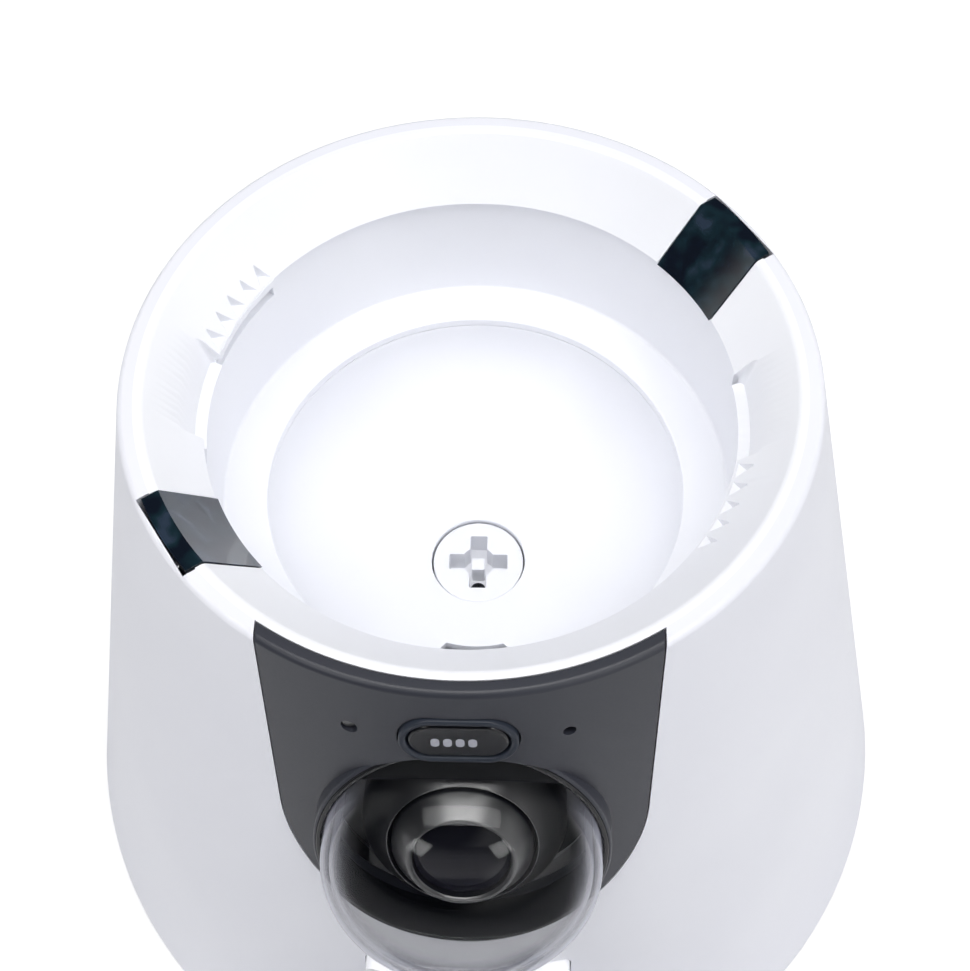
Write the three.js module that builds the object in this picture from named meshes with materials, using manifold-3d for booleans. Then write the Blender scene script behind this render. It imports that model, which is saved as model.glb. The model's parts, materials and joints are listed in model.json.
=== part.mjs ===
// Base unit of a pet feeder with a camera: a conical housing with a hopper seat and a metering bowl on
// top, a black front panel with a feed button and a domed camera, a gear drive inside, and a bowl tray at
// the front.
// Millimetres. Z is up and the front faces -Y. The origin is on the standing surface, below the middle of the
// whole footprint. The functions build round the housing's axis, and the assembly moves all of it together.

import * as THREE from 'three';
import { mergeVertices } from 'three/addons/utils/BufferGeometryUtils.js';
import Module from 'manifold-3d';

const wasm = await Module();
wasm.setup();

// Clearances and cuts
const gap = 0.3;              // between pieces that touch or fit
const runningGap = 0.1;       // round a pin or a shaft that turns
const overrun = 2;            // how far a cut passes the face that it opens

// Outer housing
const footHeight = 3;
const housingHeight = 182;
const rimRadius = 75;
const baseRadius = 118.5;
const housingWall = 2.5;
const rimRound = 1.6;         // rounding of the rim's outer edge
const baseBevel = 2;
const lipThickness = 3.1;     // the part of the rim outside the hopper seat
const shelfRadius = 69.5;     // inner edge of the shelf that carries the hopper seat
const shelfDrop = 2;

// Hopper seat
const seatFlangeThickness = 2.2;
const seatMouthRadius = 69.9;
const bandRadius = 58.9;      // lower edge of the funnel-shaped band
const bandDepth = 13.5;
const seatWallRadius = 60.2;
const seatWallThickness = 2.2;
const ledgeDepth = 46.3;
const ledgeInnerRadius = 49.5;

// Bayonet stations of the hopper seat, with angles from the front towards +X
const stationAngles = [-115.2, 64.8];
const notchCount = 5;
const notchPitchAngle = 4.7;
const notchWidth = 4.4;
const notchRadius = 62.9;     // the notches' outer corner
const entryStartAngle = 12.2;
const entryEndAngle = 34.5;
const entryRadius = 63.6;
const entryTopDepth = 8.3;
const entryFloorDepth = 12.1;
const slotSideAngle = 11.5;
const slotRadius = 63.7;
const slotHeight = 2.6;
const backingSideAngle = 2;   // how far the backing reaches past the slot and the entry
const backingRadius = 66.2;
const backingTopDepth = 8.6;
const backingBottomDepth = 19;

// Infrared windows
const windowAngles = [-55.5, 124.5];
const windowHalfWidth = 10.2;
const windowRimRadius = 73.6;
const windowThickness = 2;
const windowProud = 0.2;
const sensorBoardWidth = 15;
const sensorBoardHeight = 9;
const sensorBoardThickness = 1.6;

// Metering bowl
const bowlDepth = 35;
const bowlWall = 2.2;
const bowlFlangeRadius = 58;
const hubCollarHeight = 4;
const dropHalfAngle = 27;
const dropInnerRadius = 24.5;
const dropOuterRadius = 46.5;
const dropCornerRadius = 5;

// Drive hub
const hubRadius = 11.7;
const hubClearance = 0.4;
const hubRecess = 1;          // hub face below the bowl's lowest edge
const hubHeight = 10.5;
const hubBevel = 1;
const hubFloor = 1;           // between the cross socket and the shaft's bore
const crossLength = 15.2;
const crossWidth = 4.4;
const crossRound = 4.3;
const crossDepth = 7.5;
const postSide = 3.4;
const postRecess = 1.2;
const hubScrewRadius = 2;
const hubScrewHeight = 2.2;
const hubScrewSlot = 0.8;
const sealInnerRadius = 8.3;
const sealHeight = 2.4;

// Gear train
const gearModule = 0.75;
const outputTeeth = 40;
const wheelTeeth = 36;
const smallTeeth = 12;
const pinionTeeth = 10;
const toothTopShare = 0.72;   // of the module
const toothFootShare = 1.15;  // of the module
const toothFootWidthShare = 0.54; // of the pitch
const toothTipWidthShare = 0.24;  // of the pitch
const gearWidth = 4;
const gearLevelPitch = 4.9;
const shaftRadius = 3;
const pinRadius = 1.2;
const motorShaftRadius = 1;
const secondWheelAngle = 153; // direction from the hub to the second wheel
const firstWheelAngle = 213.6; // direction from the second wheel to the first wheel
const pinionAngle = 136;      // direction from the first wheel to the pinion
const motorRadius = 12;
const motorLength = 26;
const motorFlat = 9.8;        // distance of the motor's flat sides from its axis
const motorBearingRadius = 4;
const motorBearingHeight = 2;

// Gearbox
const boxWall = 2;
const boxPlate = 2;
const boxSideClearance = 1.2;
const earRadius = 4;
const earReach = 6;
const frontEarInset = 20;
const backEarInset = 10;
const bossRadius = 3.4;

// Chute and outlet
const chuteHalfWidth = 22.5;
const chuteWall = 1.8;
const chuteBack = 21.4;
const chuteFront = 48.5;
const chuteFloorDrop = 6.2;   // from the bowl's lowest point down to the top of the chute's floor
const chuteRoofDrop = 1.2;    // and to the front edge of its roof
const outletAboveTray = 6;    // from the tray's rim up to the outlet's floor
const outletRoofDepth = 105;  // below the rim, clear of the camera
const outletLip = 3;
const outletCorner = 2;

// Front panel
const panelHalfWidth = 39.4;
const panelWall = 2.2;
const controlsDepth = 13.9;
const controlsOffset = 21.6;
const micHoleRadius = 1.3;
const resetHoleRadius = 1.7;

// Feed button and reset button
const ringWidth = 23.6;
const ringHeight = 13.4;
const ringBand = 1.5;
const ringProud = 0.5;
const ringBack = 3.2;
const buttonProud = 0.3;
const buttonTravel = 1;
const buttonFlange = 1;       // the button's edge behind the ring, both its reach and its thickness
const stemRadius = 2.2;
const resetTravel = 0.5;
const resetRecess = 0.9;
const resetCollarRadius = 2.4;
const resetCollarHeight = 0.8;

// Control board behind the panel
const controlBoardDepth = 10;
const controlBoardThickness = 1.6;
const controlBoardHalfWidth = 31;
const controlBoardHalfHeight = 4.7;
const controlBossOffset = 27.5;
const controlBossRadius = 2.2;
const feedSwitchSide = 6;
const feedSwitchHeight = 2.6;
const feedPlungerRadius = 1.6;
const feedPlungerHeight = 0.5;
const resetSwitchSide = 4;
const resetSwitchHeight = 1;
const micRadius = 2.6;

// Camera
const cameraDepth = 50.8;
const cameraDropAngle = 6.44; // how far the camera looks down from square to the wall
const domeRadius = 29.5;
const domeWall = 1.8;
const domeSkirt = 5;
const domeHeight = 22;
const domeFlange = 2;
const bezelWidth = 1.1;
const bezelProud = 0.8;
const bezelDepth = 8;
const wellDepth = 12;
const wellWall = 2.2;
const shroudHalfWidth = 22;
const shroudHalfHeight = 17.5;
const shroudCorner = 4;
const shroudPlate = 2;
const barrelRadius = 15.2;
const barrelFrontRadius = 13.4;
const barrelLength = 6.8;
const barrelRim = 1;
const barrelSeat = 7.7;
const sensorBoreRadius = 7;
const lensRadius = 11.6;
const lensEdge = 2.4;
const lensCrown = 2.6;
const lensRecess = 2.4;
const cameraBoardHalfWidth = 15;
const cameraBoardHalfHeight = 12;
const cameraBoardThickness = 1.6;

// Base plate and what stands on it
const cornerAngles = [40, 140, -140, -40];
const baseRecess = 0.5;
const basePlateThickness = 2.5;
const baseBossRadius = 4;
const baseBossInset = 3.2;    // from the outside of the wall, at the bosses' top, in to their screws
const baseBossTop = 42;
const padRadius = 8;
const padInset = 14;          // from the base screws in to the rubber feet
const padRim = 1;
const padBevel = 1;
const screwRadius = 1.5;
const screwHeadRadius = 3;
const screwHeadHeight = 1.5;
const screwLength = 12;
const standoffRadius = 3;
const standoffHeight = 8;
const mainBoardHalfWidth = 22;
const mainBoardHalfDepth = 32;
const mainBoardSpace = 3;     // between the board and the motor beside it
const mainBoardBack = 10;
const mainBoardThickness = 1.6;
const speakerRadius = 16;
const speakerFlange = 3;
const speakerMagnetRadius = 8;
const speakerHeight = 9;
const speakerOffset = 60;
const speakerBack = 10;
const speakerSlotCount = 4;
const speakerSlotWidth = 2.5;
const speakerSlotPitch = 6;
const inletHalfWidth = 5.5;
const inletHeight = 11;
const inletLength = 14;
const inletZ = 22;
const inletSocketRadius = 2.8;
const inletPinRadius = 1;
const inletSocketDepth = 9;

// Bowl tray and steel bowl
const trayHeight = 36;
const trayRadius = 70;
const trayRimWidth = 6;
const trayWall = 2.5;
const trayMouthRadius = 60.5;
const trayFloorRadius = 52.5;
const trayOverlap = 11.5;     // how far the tray's circle reaches behind the housing's base circle
const tongueHalfWidth = 15;
const tongueZ = 10;
const tongueThickness = 4;
const tongueReach = 12;
const steelThickness = 1;
const steelRadius = 58.5;
const steelFloorRadius = 50;
const steelDepth = 31;
const steelFlangeRadius = 62.5;

// How finely round shapes are divided
const roundSegments = 36;
const bowlSegments = 28;
const mediumSegments = 20;
const smallSegments = 12;
const tinySegments = 8;
const arcSteps = 5;
const rimSteps = 3;
const cornerSteps = 2;

// Heights and radii that follow from the sizes above
const rimTop = footHeight + housingHeight;
const wallSlope = (baseRadius - rimRadius) / housingHeight;
const wallTilt = Math.atan(wallSlope);
const lipInnerRadius = rimRadius - lipThickness;
const flangeRadius = lipInnerRadius - gap;
const seatOuterRadius = seatWallRadius + seatWallThickness;
const bandEdge = rimTop - bandDepth;
const bandSlope = (flangeRadius - seatOuterRadius) / (bandDepth - seatFlangeThickness);
const bowlTop = rimTop - ledgeDepth - seatWallThickness - gap;
const bowlFloor = bowlTop - bowlDepth;
const hubBore = hubRadius + hubClearance;
const hubTop = bowlFloor - hubRecess;
const hubBottom = hubTop - hubHeight;
const shaftTop = hubTop - crossDepth - hubFloor;
const coverTop = hubBottom - sealHeight - 2 * gap;
const coverBottom = coverTop - boxPlate;
const boxTop = coverBottom - gap;
const boxInside = boxTop - 3 * gearLevelPitch - gap;
const boxBottom = boxInside - boxPlate;
const bezelOuterRadius = domeRadius + gap + bezelWidth;
const wellOuterRadius = bezelOuterRadius + gap + wellWall;
const shroudBack = -wellDepth - domeFlange - 2 * gap - shroudPlate;
const plateBottom = footHeight + baseRecess;
const plateTop = plateBottom + basePlateThickness;
const skinFoot = footHeight + baseBevel;
const chuteFloorTop = bowlFloor - chuteFloorDrop;
const chuteRoofTop = bowlFloor - chuteRoofDrop;
const outletFloor = trayHeight + outletAboveTray;
const outletRoof = rimTop - outletRoofDepth;
const trayY = -(baseRadius + trayRadius - trayOverlap);

const paint = (name, color, roughness, metalness = 0, opacity = 1) => {
  const material = new THREE.MeshStandardMaterial({ color, roughness, metalness });
  material.name = name;
  material.transparent = opacity < 1;
  material.opacity = opacity;
  return material;
};

const materials = {
  shell: paint('white_shell', 0xf2f3f7, 0.42),
  seat: paint('white_seat', 0xf5f6f9, 0.45),
  panel: paint('charcoal_panel', 0x2b2c31, 0.5),
  ring: paint('slate_ring', 0x5a6070, 0.4),
  black: paint('satin_black', 0x14151a, 0.35),
  gloss: paint('gloss_black', 0x0a0b0f, 0.12),
  dome: paint('clear_dome', 0x20242c, 0.05, 0, 0.4),
  lens: paint('lens_glass', 0x0c0e14, 0.03, 0, 0.6),
  smoke: paint('smoked_window', 0x15202a, 0.12),
  metal: paint('dark_steel', 0x33353a, 0.4, 0.9),
  steel: paint('stainless_steel', 0xb9bbbf, 0.25, 1),
  gear: paint('gear_plastic', 0xe7e3d6, 0.5),
  board: paint('circuit_board', 0x1d4a33, 0.55),
  rubber: paint('rubber', 0x25262a, 0.85),
  inner: paint('inner_plastic', 0x3a3c42, 0.6),
};

// Solids

function signedVolume(vertices, triangles) {
  const corner = (index) => new THREE.Vector3().fromArray(vertices, 3 * triangles[index]);
  let volume = 0;
  for (let t = 0; t < triangles.length; t += 3) {
    volume += corner(t).dot(corner(t + 1).cross(corner(t + 2)));
  }
  return volume;
}

function keptTriangles(index) {
  const kept = [];
  for (let t = 0; t < index.length; t += 3) {
    const [a, b, c] = [index[t], index[t + 1], index[t + 2]];
    if (a !== b && b !== c && c !== a) kept.push(a, b, c);
  }
  return kept;
}

// A three.js geometry as a closed solid with its faces pointing out.
function toSolid(geometry) {
  const bare = geometry.clone();
  bare.deleteAttribute('normal');
  bare.deleteAttribute('uv');
  const merged = mergeVertices(bare);
  const triangles = keptTriangles(merged.index.array);
  const vertProperties = new Float32Array(merged.attributes.position.array);
  if (signedVolume(vertProperties, triangles) < 0) triangles.reverse();
  const mesh = new wasm.Mesh({ numProp: 3, vertProperties, triVerts: new Uint32Array(triangles) });
  return new wasm.Manifold(mesh);
}

function toGeometry(solid) {
  const mesh = solid.getMesh();
  const geometry = new THREE.BufferGeometry();
  const positions = new Float32Array((mesh.vertProperties.length / mesh.numProp) * 3);
  for (let v = 0; v < positions.length / 3; v += 1) {
    for (let k = 0; k < 3; k += 1) positions[3 * v + k] = mesh.vertProperties[v * mesh.numProp + k];
  }
  geometry.setAttribute('position', new THREE.BufferAttribute(positions, 3));
  geometry.setIndex(new THREE.BufferAttribute(new Uint32Array(mesh.triVerts), 1));
  geometry.computeVertexNormals();
  return geometry;
}

const placed = (geometry, matrix) => toSolid(geometry.clone().applyMatrix4(matrix));
const joined = (solids) => solids.reduce((sum, solid) => sum.add(solid));
const cutBy = (solid, cuts) => cuts.reduce((rest, cut) => rest.subtract(cut), solid);

// Shapes

const radians = THREE.MathUtils.degToRad;

// A full turn of a closed outline of [radius, height] points.
function revolved(outline, segments = roundSegments) {
  const points = outline.map(([radius, height]) => new THREE.Vector2(radius, height));
  points.push(points[0].clone());
  return new THREE.LatheGeometry(points, segments).rotateX(Math.PI / 2);
}

function cylinder(radius, bottom, top, segments = mediumSegments) {
  const geometry = new THREE.CylinderGeometry(radius, radius, top - bottom, segments);
  return geometry.rotateX(Math.PI / 2).translate(0, 0, (top + bottom) / 2);
}

function block(xFrom, xTo, yFrom, yTo, zFrom, zTo) {
  const geometry = new THREE.BoxGeometry(xTo - xFrom, yTo - yFrom, zTo - zFrom);
  return geometry.translate((xFrom + xTo) / 2, (yFrom + yTo) / 2, (zFrom + zTo) / 2);
}

function upright(shape, bottom, top, curveSegments = 4) {
  const options = { depth: top - bottom, bevelEnabled: false, curveSegments };
  return new THREE.ExtrudeGeometry(shape, options).translate(0, 0, bottom);
}

// A shape drawn in X and Z and pushed along Y.
function frontal(shape, yFrom, yTo, curveSegments = 4) {
  const options = { depth: yTo - yFrom, bevelEnabled: false, curveSegments };
  return new THREE.ExtrudeGeometry(shape, options).rotateX(Math.PI / 2).translate(0, yTo, 0);
}

function polygon(points) {
  return new THREE.Shape(points.map(([x, y]) => new THREE.Vector2(x, y)));
}

function roundedRectangle(halfWidth, halfHeight, corner) {
  const shape = new THREE.Shape();
  const [x, y] = [halfWidth - corner, halfHeight - corner];
  [[x, -y], [x, y], [-x, y], [-x, -y]].forEach(([cornerX, cornerY], i) => {
    const start = (Math.PI / 2) * (i - 1);
    shape.absarc(cornerX, cornerY, corner, start, start + Math.PI / 2, false);
  });
  return shape;
}

function capsule(width, height) {
  const radius = height / 2;
  const reach = width / 2 - radius;
  const shape = new THREE.Shape();
  shape.absarc(reach, 0, radius, -Math.PI / 2, Math.PI / 2, false);
  shape.absarc(-reach, 0, radius, Math.PI / 2, 1.5 * Math.PI, false);
  return shape;
}

// Angles start at the front and turn towards +X. A shape's own angles start at +X.
const shapeTurn = (angle) => radians(angle) - Math.PI / 2;

function ringSector(fromAngle, toAngle, innerRadius, outerRadius) {
  const shape = new THREE.Shape();
  shape.absarc(0, 0, outerRadius, shapeTurn(fromAngle), shapeTurn(toAngle), false);
  shape.absarc(0, 0, innerRadius, shapeTurn(toAngle), shapeTurn(fromAngle), true);
  return shape;
}

const aroundZ = (angle) => new THREE.Matrix4().makeRotationZ(radians(angle));
const shift = (x, y, z) => new THREE.Matrix4().makeTranslation(x, y, z);
const polar = (radius, angle) => [radius * Math.sin(radians(angle)), -radius * Math.cos(radians(angle))];

// The housing's cone

const coneRadius = (z) => rimRadius + wallSlope * (rimTop - z);
const baseBossCircle = coneRadius(baseBossTop) - baseBossInset;
const padCircle = baseBossCircle - padInset;

function coneSolid(extra, low = -overrun, high = rimTop) {
  return toSolid(revolved([
    [0, low], [coneRadius(low) + extra, low], [coneRadius(high) + extra, high], [0, high],
  ]));
}

// A frame on the cone's front, with its Z pointing out of the wall, tilted up by an angle, and its Y uphill.
function frontFrame(depth, tilt) {
  const up = new THREE.Vector3(0, Math.sin(tilt), Math.cos(tilt));
  const out = new THREE.Vector3(0, -Math.cos(tilt), Math.sin(tilt));
  const frame = new THREE.Matrix4().makeBasis(new THREE.Vector3(1, 0, 0), up, out);
  return frame.setPosition(0, -coneRadius(rimTop - depth), rimTop - depth);
}

const controlsFrame = frontFrame(controlsDepth, wallTilt);
const cameraFrame = frontFrame(cameraDepth, wallTilt - radians(cameraDropAngle));

// The skin's outer line from the foot up to the inside of the lip, with the rim's edge rounded.
function skinLine(foot) {
  const centreZ = rimTop - rimRound;
  const tangentZ = centreZ + rimRound * Math.sin(wallTilt);
  const centreR = coneRadius(tangentZ) - rimRound * Math.cos(wallTilt);
  const line = [[coneRadius(foot), foot]];
  for (let i = 0; i <= rimSteps; i += 1) {
    const angle = wallTilt + ((Math.PI / 2 - wallTilt) * i) / rimSteps;
    line.push([centreR + rimRound * Math.cos(angle), centreZ + rimRound * Math.sin(angle)]);
  }
  line.push([lipInnerRadius, rimTop], [lipInnerRadius, rimTop - seatFlangeThickness - gap]);
  return line;
}

// The front panel's outline, seen from the front: straight sides and a round foot about the camera.
function panelPrism(clearance) {
  const side = panelHalfWidth + clearance;
  const centre = rimTop - cameraDepth;
  const shape = new THREE.Shape();
  shape.moveTo(side, rimTop + overrun);
  shape.lineTo(-side, rimTop + overrun);
  shape.lineTo(-side, centre);
  shape.absarc(0, centre, side, Math.PI, 2 * Math.PI, false);
  return toSolid(frontal(shape, -baseRadius, -overrun, mediumSegments / 2));
}

function windowCut(angle, halfWidth) {
  const slab = block(
    -halfWidth, halfWidth, -windowRimRadius - gap, -bandRadius / 2, bandEdge - gap, rimTop + overrun,
  );
  return placed(slab, aroundZ(angle));
}

// Outer housing

function housingBosses() {
  const bottom = plateTop + gap;
  const boss = cylinder(baseBossRadius, bottom, baseBossTop, smallSegments);
  const pilotTop = plateBottom + screwLength + overrun;
  const pilot = cylinder(screwRadius + gap, bottom - overrun, pilotTop, tinySegments);
  const insideWall = coneSolid(-housingWall / 2);
  return cornerAngles.map((angle) => {
    const place = shift(...polar(baseBossCircle, angle), 0);
    return placed(boss, place).intersect(insideWall).subtract(placed(pilot, place));
  });
}

// The opening's sides reach back to where the round wall has passed the chute's corners.
const outletBackY = () => -coneRadius(outletRoof) + housingWall + 3 * overrun;

function outletPrism(clearance) {
  const halfWidth = chuteHalfWidth + chuteWall + clearance;
  const halfHeight = (outletRoof - outletFloor) / 2 + chuteWall + clearance;
  const shape = roundedRectangle(halfWidth, halfHeight, outletCorner + clearance);
  const prism = frontal(shape, -baseRadius, outletBackY() + gap, cornerSteps);
  return placed(prism, shift(0, 0, (outletRoof + outletFloor) / 2));
}

function housingSkin() {
  const shelfDepth = seatFlangeThickness + (flangeRadius - shelfRadius) / bandSlope;
  const shelfBottom = rimTop - shelfDepth - shelfDrop;
  const wallMeets = shelfBottom - 2 * shelfDrop;
  return toSolid(revolved([
    [coneRadius(footHeight) - baseBevel, footHeight],
    ...skinLine(skinFoot),
    [shelfRadius, rimTop - shelfDepth - 2 * gap],
    [shelfRadius, shelfBottom],
    [coneRadius(wallMeets) - housingWall, wallMeets],
    [coneRadius(footHeight) - housingWall - baseBevel / 2, footHeight],
  ]));
}

function outerHousing() {
  const inletLow = inletZ - inletHeight / 2;
  const inlet = block(-inletHalfWidth, inletHalfWidth, 0, baseRadius, inletLow, inletLow + inletHeight);
  const tongueLow = tongueZ - tongueThickness / 2 - gap;
  const tongue = block(
    -tongueHalfWidth - gap, tongueHalfWidth + gap, -baseRadius - overrun, -baseRadius / 2,
    tongueLow, tongueLow + tongueThickness + 2 * gap,
  );
  const windows = windowAngles.map((angle) => windowCut(angle, windowHalfWidth + gap));
  const cuts = [panelPrism(gap), outletPrism(gap), toSolid(inlet), toSolid(tongue), ...windows];
  return joined([cutBy(housingSkin(), cuts), ...housingBosses()]);
}

// Hopper seat

function seatShell() {
  const ledgeTop = rimTop - ledgeDepth;
  return toSolid(revolved([
    [flangeRadius, rimTop], [seatMouthRadius, rimTop], [bandRadius, bandEdge], [seatWallRadius, bandEdge],
    [seatWallRadius, ledgeTop], [ledgeInnerRadius, ledgeTop],
    [ledgeInnerRadius, ledgeTop - seatWallThickness], [seatOuterRadius, ledgeTop - seatWallThickness],
    [seatOuterRadius, bandEdge], [flangeRadius, rimTop - seatFlangeThickness],
  ]));
}

// One ratchet notch: an upright wedge whose depth runs out towards the top of the sloping band.
function notch(angle) {
  const mouth = bandRadius - overrun;
  const spread = (notchWidth / 2) * ((notchRadius - mouth) / (notchRadius - bandRadius));
  const wedge = polygon([[0, -notchRadius], [spread, -mouth], [-spread, -mouth]]);
  return placed(upright(wedge, bandEdge - slotHeight, rimTop), aroundZ(angle));
}

function sectorSolid(fromAngle, toAngle, innerRadius, outerRadius, upperDepth, lowerDepth) {
  const shape = ringSector(fromAngle, toAngle, innerRadius, outerRadius);
  return toSolid(upright(shape, rimTop - lowerDepth, rimTop - upperDepth));
}

function stationBacking(angle) {
  const from = angle - slotSideAngle - backingSideAngle;
  const to = angle + entryEndAngle + backingSideAngle;
  const inner = seatWallRadius + seatWallThickness / 2;
  return sectorSolid(from, to, inner, backingRadius, backingTopDepth, backingBottomDepth);
}

function stationCuts(angle) {
  const notches = Array.from({ length: notchCount }, (unused, i) => {
    return notch(angle + (i - (notchCount - 1) / 2) * notchPitchAngle);
  });
  const inside = bandRadius / 2;
  const entry = sectorSolid(
    angle + entryStartAngle, angle + entryEndAngle, inside, entryRadius, entryTopDepth, entryFloorDepth,
  );
  const slot = sectorSolid(
    angle - slotSideAngle, angle + entryStartAngle + notchPitchAngle, inside, slotRadius,
    bandDepth, bandDepth + slotHeight,
  );
  return [...notches, entry, slot];
}

function hopperSeat() {
  const body = joined([seatShell(), ...stationAngles.map(stationBacking)]);
  const windows = windowAngles.map((angle) => windowCut(angle, windowHalfWidth));
  return cutBy(body, [...stationAngles.flatMap(stationCuts), ...windows]);
}

// Infrared windows and their boards

const windowBackTop = [seatMouthRadius + windowThickness / 2, rimTop - windowThickness];
const windowBackLow = [bandRadius + windowThickness, bandEdge];

function infraredWindow(angle) {
  const top = rimTop + windowProud;
  const band = toSolid(revolved([
    [windowRimRadius, top], [seatMouthRadius - windowProud, top], [bandRadius - windowProud, bandEdge],
    windowBackLow, windowBackTop, [windowRimRadius, rimTop - windowThickness],
  ]));
  return band.intersect(windowCut(angle, windowHalfWidth - gap));
}

// The board lies flat against the window's sloping back face.
function sensorBoardPlace(angle) {
  const [rise, run] = [windowBackTop[1] - windowBackLow[1], windowBackTop[0] - windowBackLow[0]];
  const slope = Math.atan2(run, rise);
  const along = new THREE.Vector3(0, -Math.sin(slope), Math.cos(slope));
  const outward = new THREE.Vector3(0, -Math.cos(slope), -Math.sin(slope));
  const frame = new THREE.Matrix4().makeBasis(new THREE.Vector3(1, 0, 0), along, outward);
  const middle = new THREE.Vector3(
    0, -(windowBackTop[0] + windowBackLow[0]) / 2, (windowBackTop[1] + windowBackLow[1]) / 2,
  );
  frame.setPosition(middle.addScaledVector(outward, gap + sensorBoardThickness / 2));
  return aroundZ(angle).multiply(frame);
}

function sensorBoard() {
  const [x, y, z] = [sensorBoardWidth / 2, sensorBoardHeight / 2, sensorBoardThickness / 2];
  return toSolid(block(-x, x, -y, y, -z, z));
}

// Metering bowl: its section is a quarter of an ellipse, from the ledge down to the hub.

function bowlArc(extra) {
  const reach = ledgeInnerRadius - hubBore + extra;
  const depth = bowlDepth + extra;
  return Array.from({ length: arcSteps + 1 }, (unused, i) => {
    const angle = (Math.PI / 2) * (i / arcSteps);
    return [hubBore + reach * Math.cos(angle), bowlTop - depth * Math.sin(angle)];
  });
}

// Everything above a surface that lies a given distance outside the bowl's outer face.
function bowlAndAbove(extra) {
  const flange = bowlTop - bowlWall - Math.max(extra, 0);
  const wall = bowlWall + extra;
  return toSolid(revolved([
    [0, bowlTop + overrun], [bowlFlangeRadius + overrun, bowlTop + overrun],
    [bowlFlangeRadius + overrun, flange], [ledgeInnerRadius + wall, flange], ...bowlArc(wall).slice(1),
    [0, bowlFloor - wall],
  ], bowlSegments));
}

function dropShape() {
  const trimAngle = (radius) => THREE.MathUtils.radToDeg(Math.asin(dropCornerRadius / radius));
  const innerTrim = trimAngle(dropInnerRadius);
  const outerTrim = trimAngle(dropOuterRadius);
  const outerSide = dropOuterRadius - dropCornerRadius;
  const innerSide = dropInnerRadius + dropCornerRadius;
  const half = dropHalfAngle;
  const shape = new THREE.Shape();
  shape.moveTo(...polar(outerSide, -half));
  shape.quadraticCurveTo(...polar(dropOuterRadius, -half), ...polar(dropOuterRadius, outerTrim - half));
  shape.absarc(0, 0, dropOuterRadius, shapeTurn(outerTrim - half), shapeTurn(half - outerTrim), false);
  shape.quadraticCurveTo(...polar(dropOuterRadius, half), ...polar(outerSide, half));
  shape.lineTo(...polar(innerSide, half));
  shape.quadraticCurveTo(...polar(dropInnerRadius, half), ...polar(dropInnerRadius, half - innerTrim));
  shape.absarc(0, 0, dropInnerRadius, shapeTurn(half - innerTrim), shapeTurn(innerTrim - half), true);
  shape.quadraticCurveTo(...polar(dropInnerRadius, -half), ...polar(innerSide, -half));
  return shape;
}

function bowlShell() {
  const collarBottom = bowlFloor - hubCollarHeight;
  return toSolid(revolved([
    ...bowlArc(0),
    [hubBore, collarBottom], [hubBore + bowlWall, collarBottom], [hubBore + bowlWall, bowlFloor - bowlWall],
    ...bowlArc(bowlWall).reverse().slice(1, -1),
    [ledgeInnerRadius + bowlWall, bowlTop - bowlWall],
    [bowlFlangeRadius, bowlTop - bowlWall], [bowlFlangeRadius, bowlTop],
  ], bowlSegments));
}

// The gearbox hangs from four bosses under the bowl.
function gearboxBosses() {
  return gearboxEars().map(([x, y]) => {
    const post = cylinder(bossRadius, coverTop + gap, bowlTop - bowlWall, smallSegments);
    const boss = placed(post, shift(x, y, 0));
    const pilot = cylinder(screwRadius + gap, coverTop - overrun, coverTop + screwLength, tinySegments);
    return boss.subtract(placed(pilot, shift(x, y, 0))).subtract(bowlAndAbove(-bowlWall / 2));
  });
}

function meteringBowl() {
  const opening = toSolid(upright(dropShape(), bowlFloor - hubCollarHeight, bowlTop - bowlWall));
  return joined([bowlShell(), ...gearboxBosses()]).subtract(opening);
}

// Drive hub

function crossCut() {
  const [low, high] = [hubTop - crossDepth, hubTop + overrun];
  const arm = (halfX, halfY) => toSolid(block(-halfX, halfX, -halfY, halfY, low, high));
  const round = toSolid(cylinder(crossRound, low, high, smallSegments));
  const cross = joined([arm(crossLength / 2, crossWidth / 2), arm(crossWidth / 2, crossLength / 2), round]);
  const half = postSide / 2;
  return cross.subtract(toSolid(block(-half, half, -half, half, low - overrun, hubTop - postRecess)));
}

function driveHub() {
  const body = toSolid(revolved([
    [0, hubBottom], [hubRadius - hubBevel, hubBottom], [hubRadius, hubBottom + hubBevel],
    [hubRadius, hubTop - gap], [hubRadius - gap, hubTop], [0, hubTop],
  ], bowlSegments));
  const bore = toSolid(cylinder(shaftRadius + gap, hubBottom - overrun, shaftTop, smallSegments));
  return cutBy(body, [crossCut(), bore]);
}

const hubScrewPlace = () => shift(0, hubScrewRadius + gap - crossLength / 2, hubTop - crossDepth + gap);

function hubScrew() {
  const head = toSolid(cylinder(hubScrewRadius, 0, hubScrewHeight, smallSegments));
  const half = hubScrewSlot / 2;
  const slot = block(
    -hubScrewRadius, hubScrewRadius, -half, half, hubScrewHeight / 2, hubScrewHeight + overrun,
  );
  return head.subtract(toSolid(slot));
}

function shaftSeal() {
  const top = hubBottom - gap;
  const outer = hubBore + bowlWall;
  return toSolid(revolved([
    [sealInnerRadius, top], [outer, top], [outer, top - sealHeight / 2], [hubRadius, top - sealHeight],
    [sealInnerRadius, top - sealHeight],
  ], mediumSegments));
}

// Gear train

const pitchRadius = (teeth) => (gearModule * teeth) / 2;
const tipRadius = (teeth) => pitchRadius(teeth) + toothTopShare * gearModule;
const footRadius = (teeth) => pitchRadius(teeth) - toothFootShare * gearModule;

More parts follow.
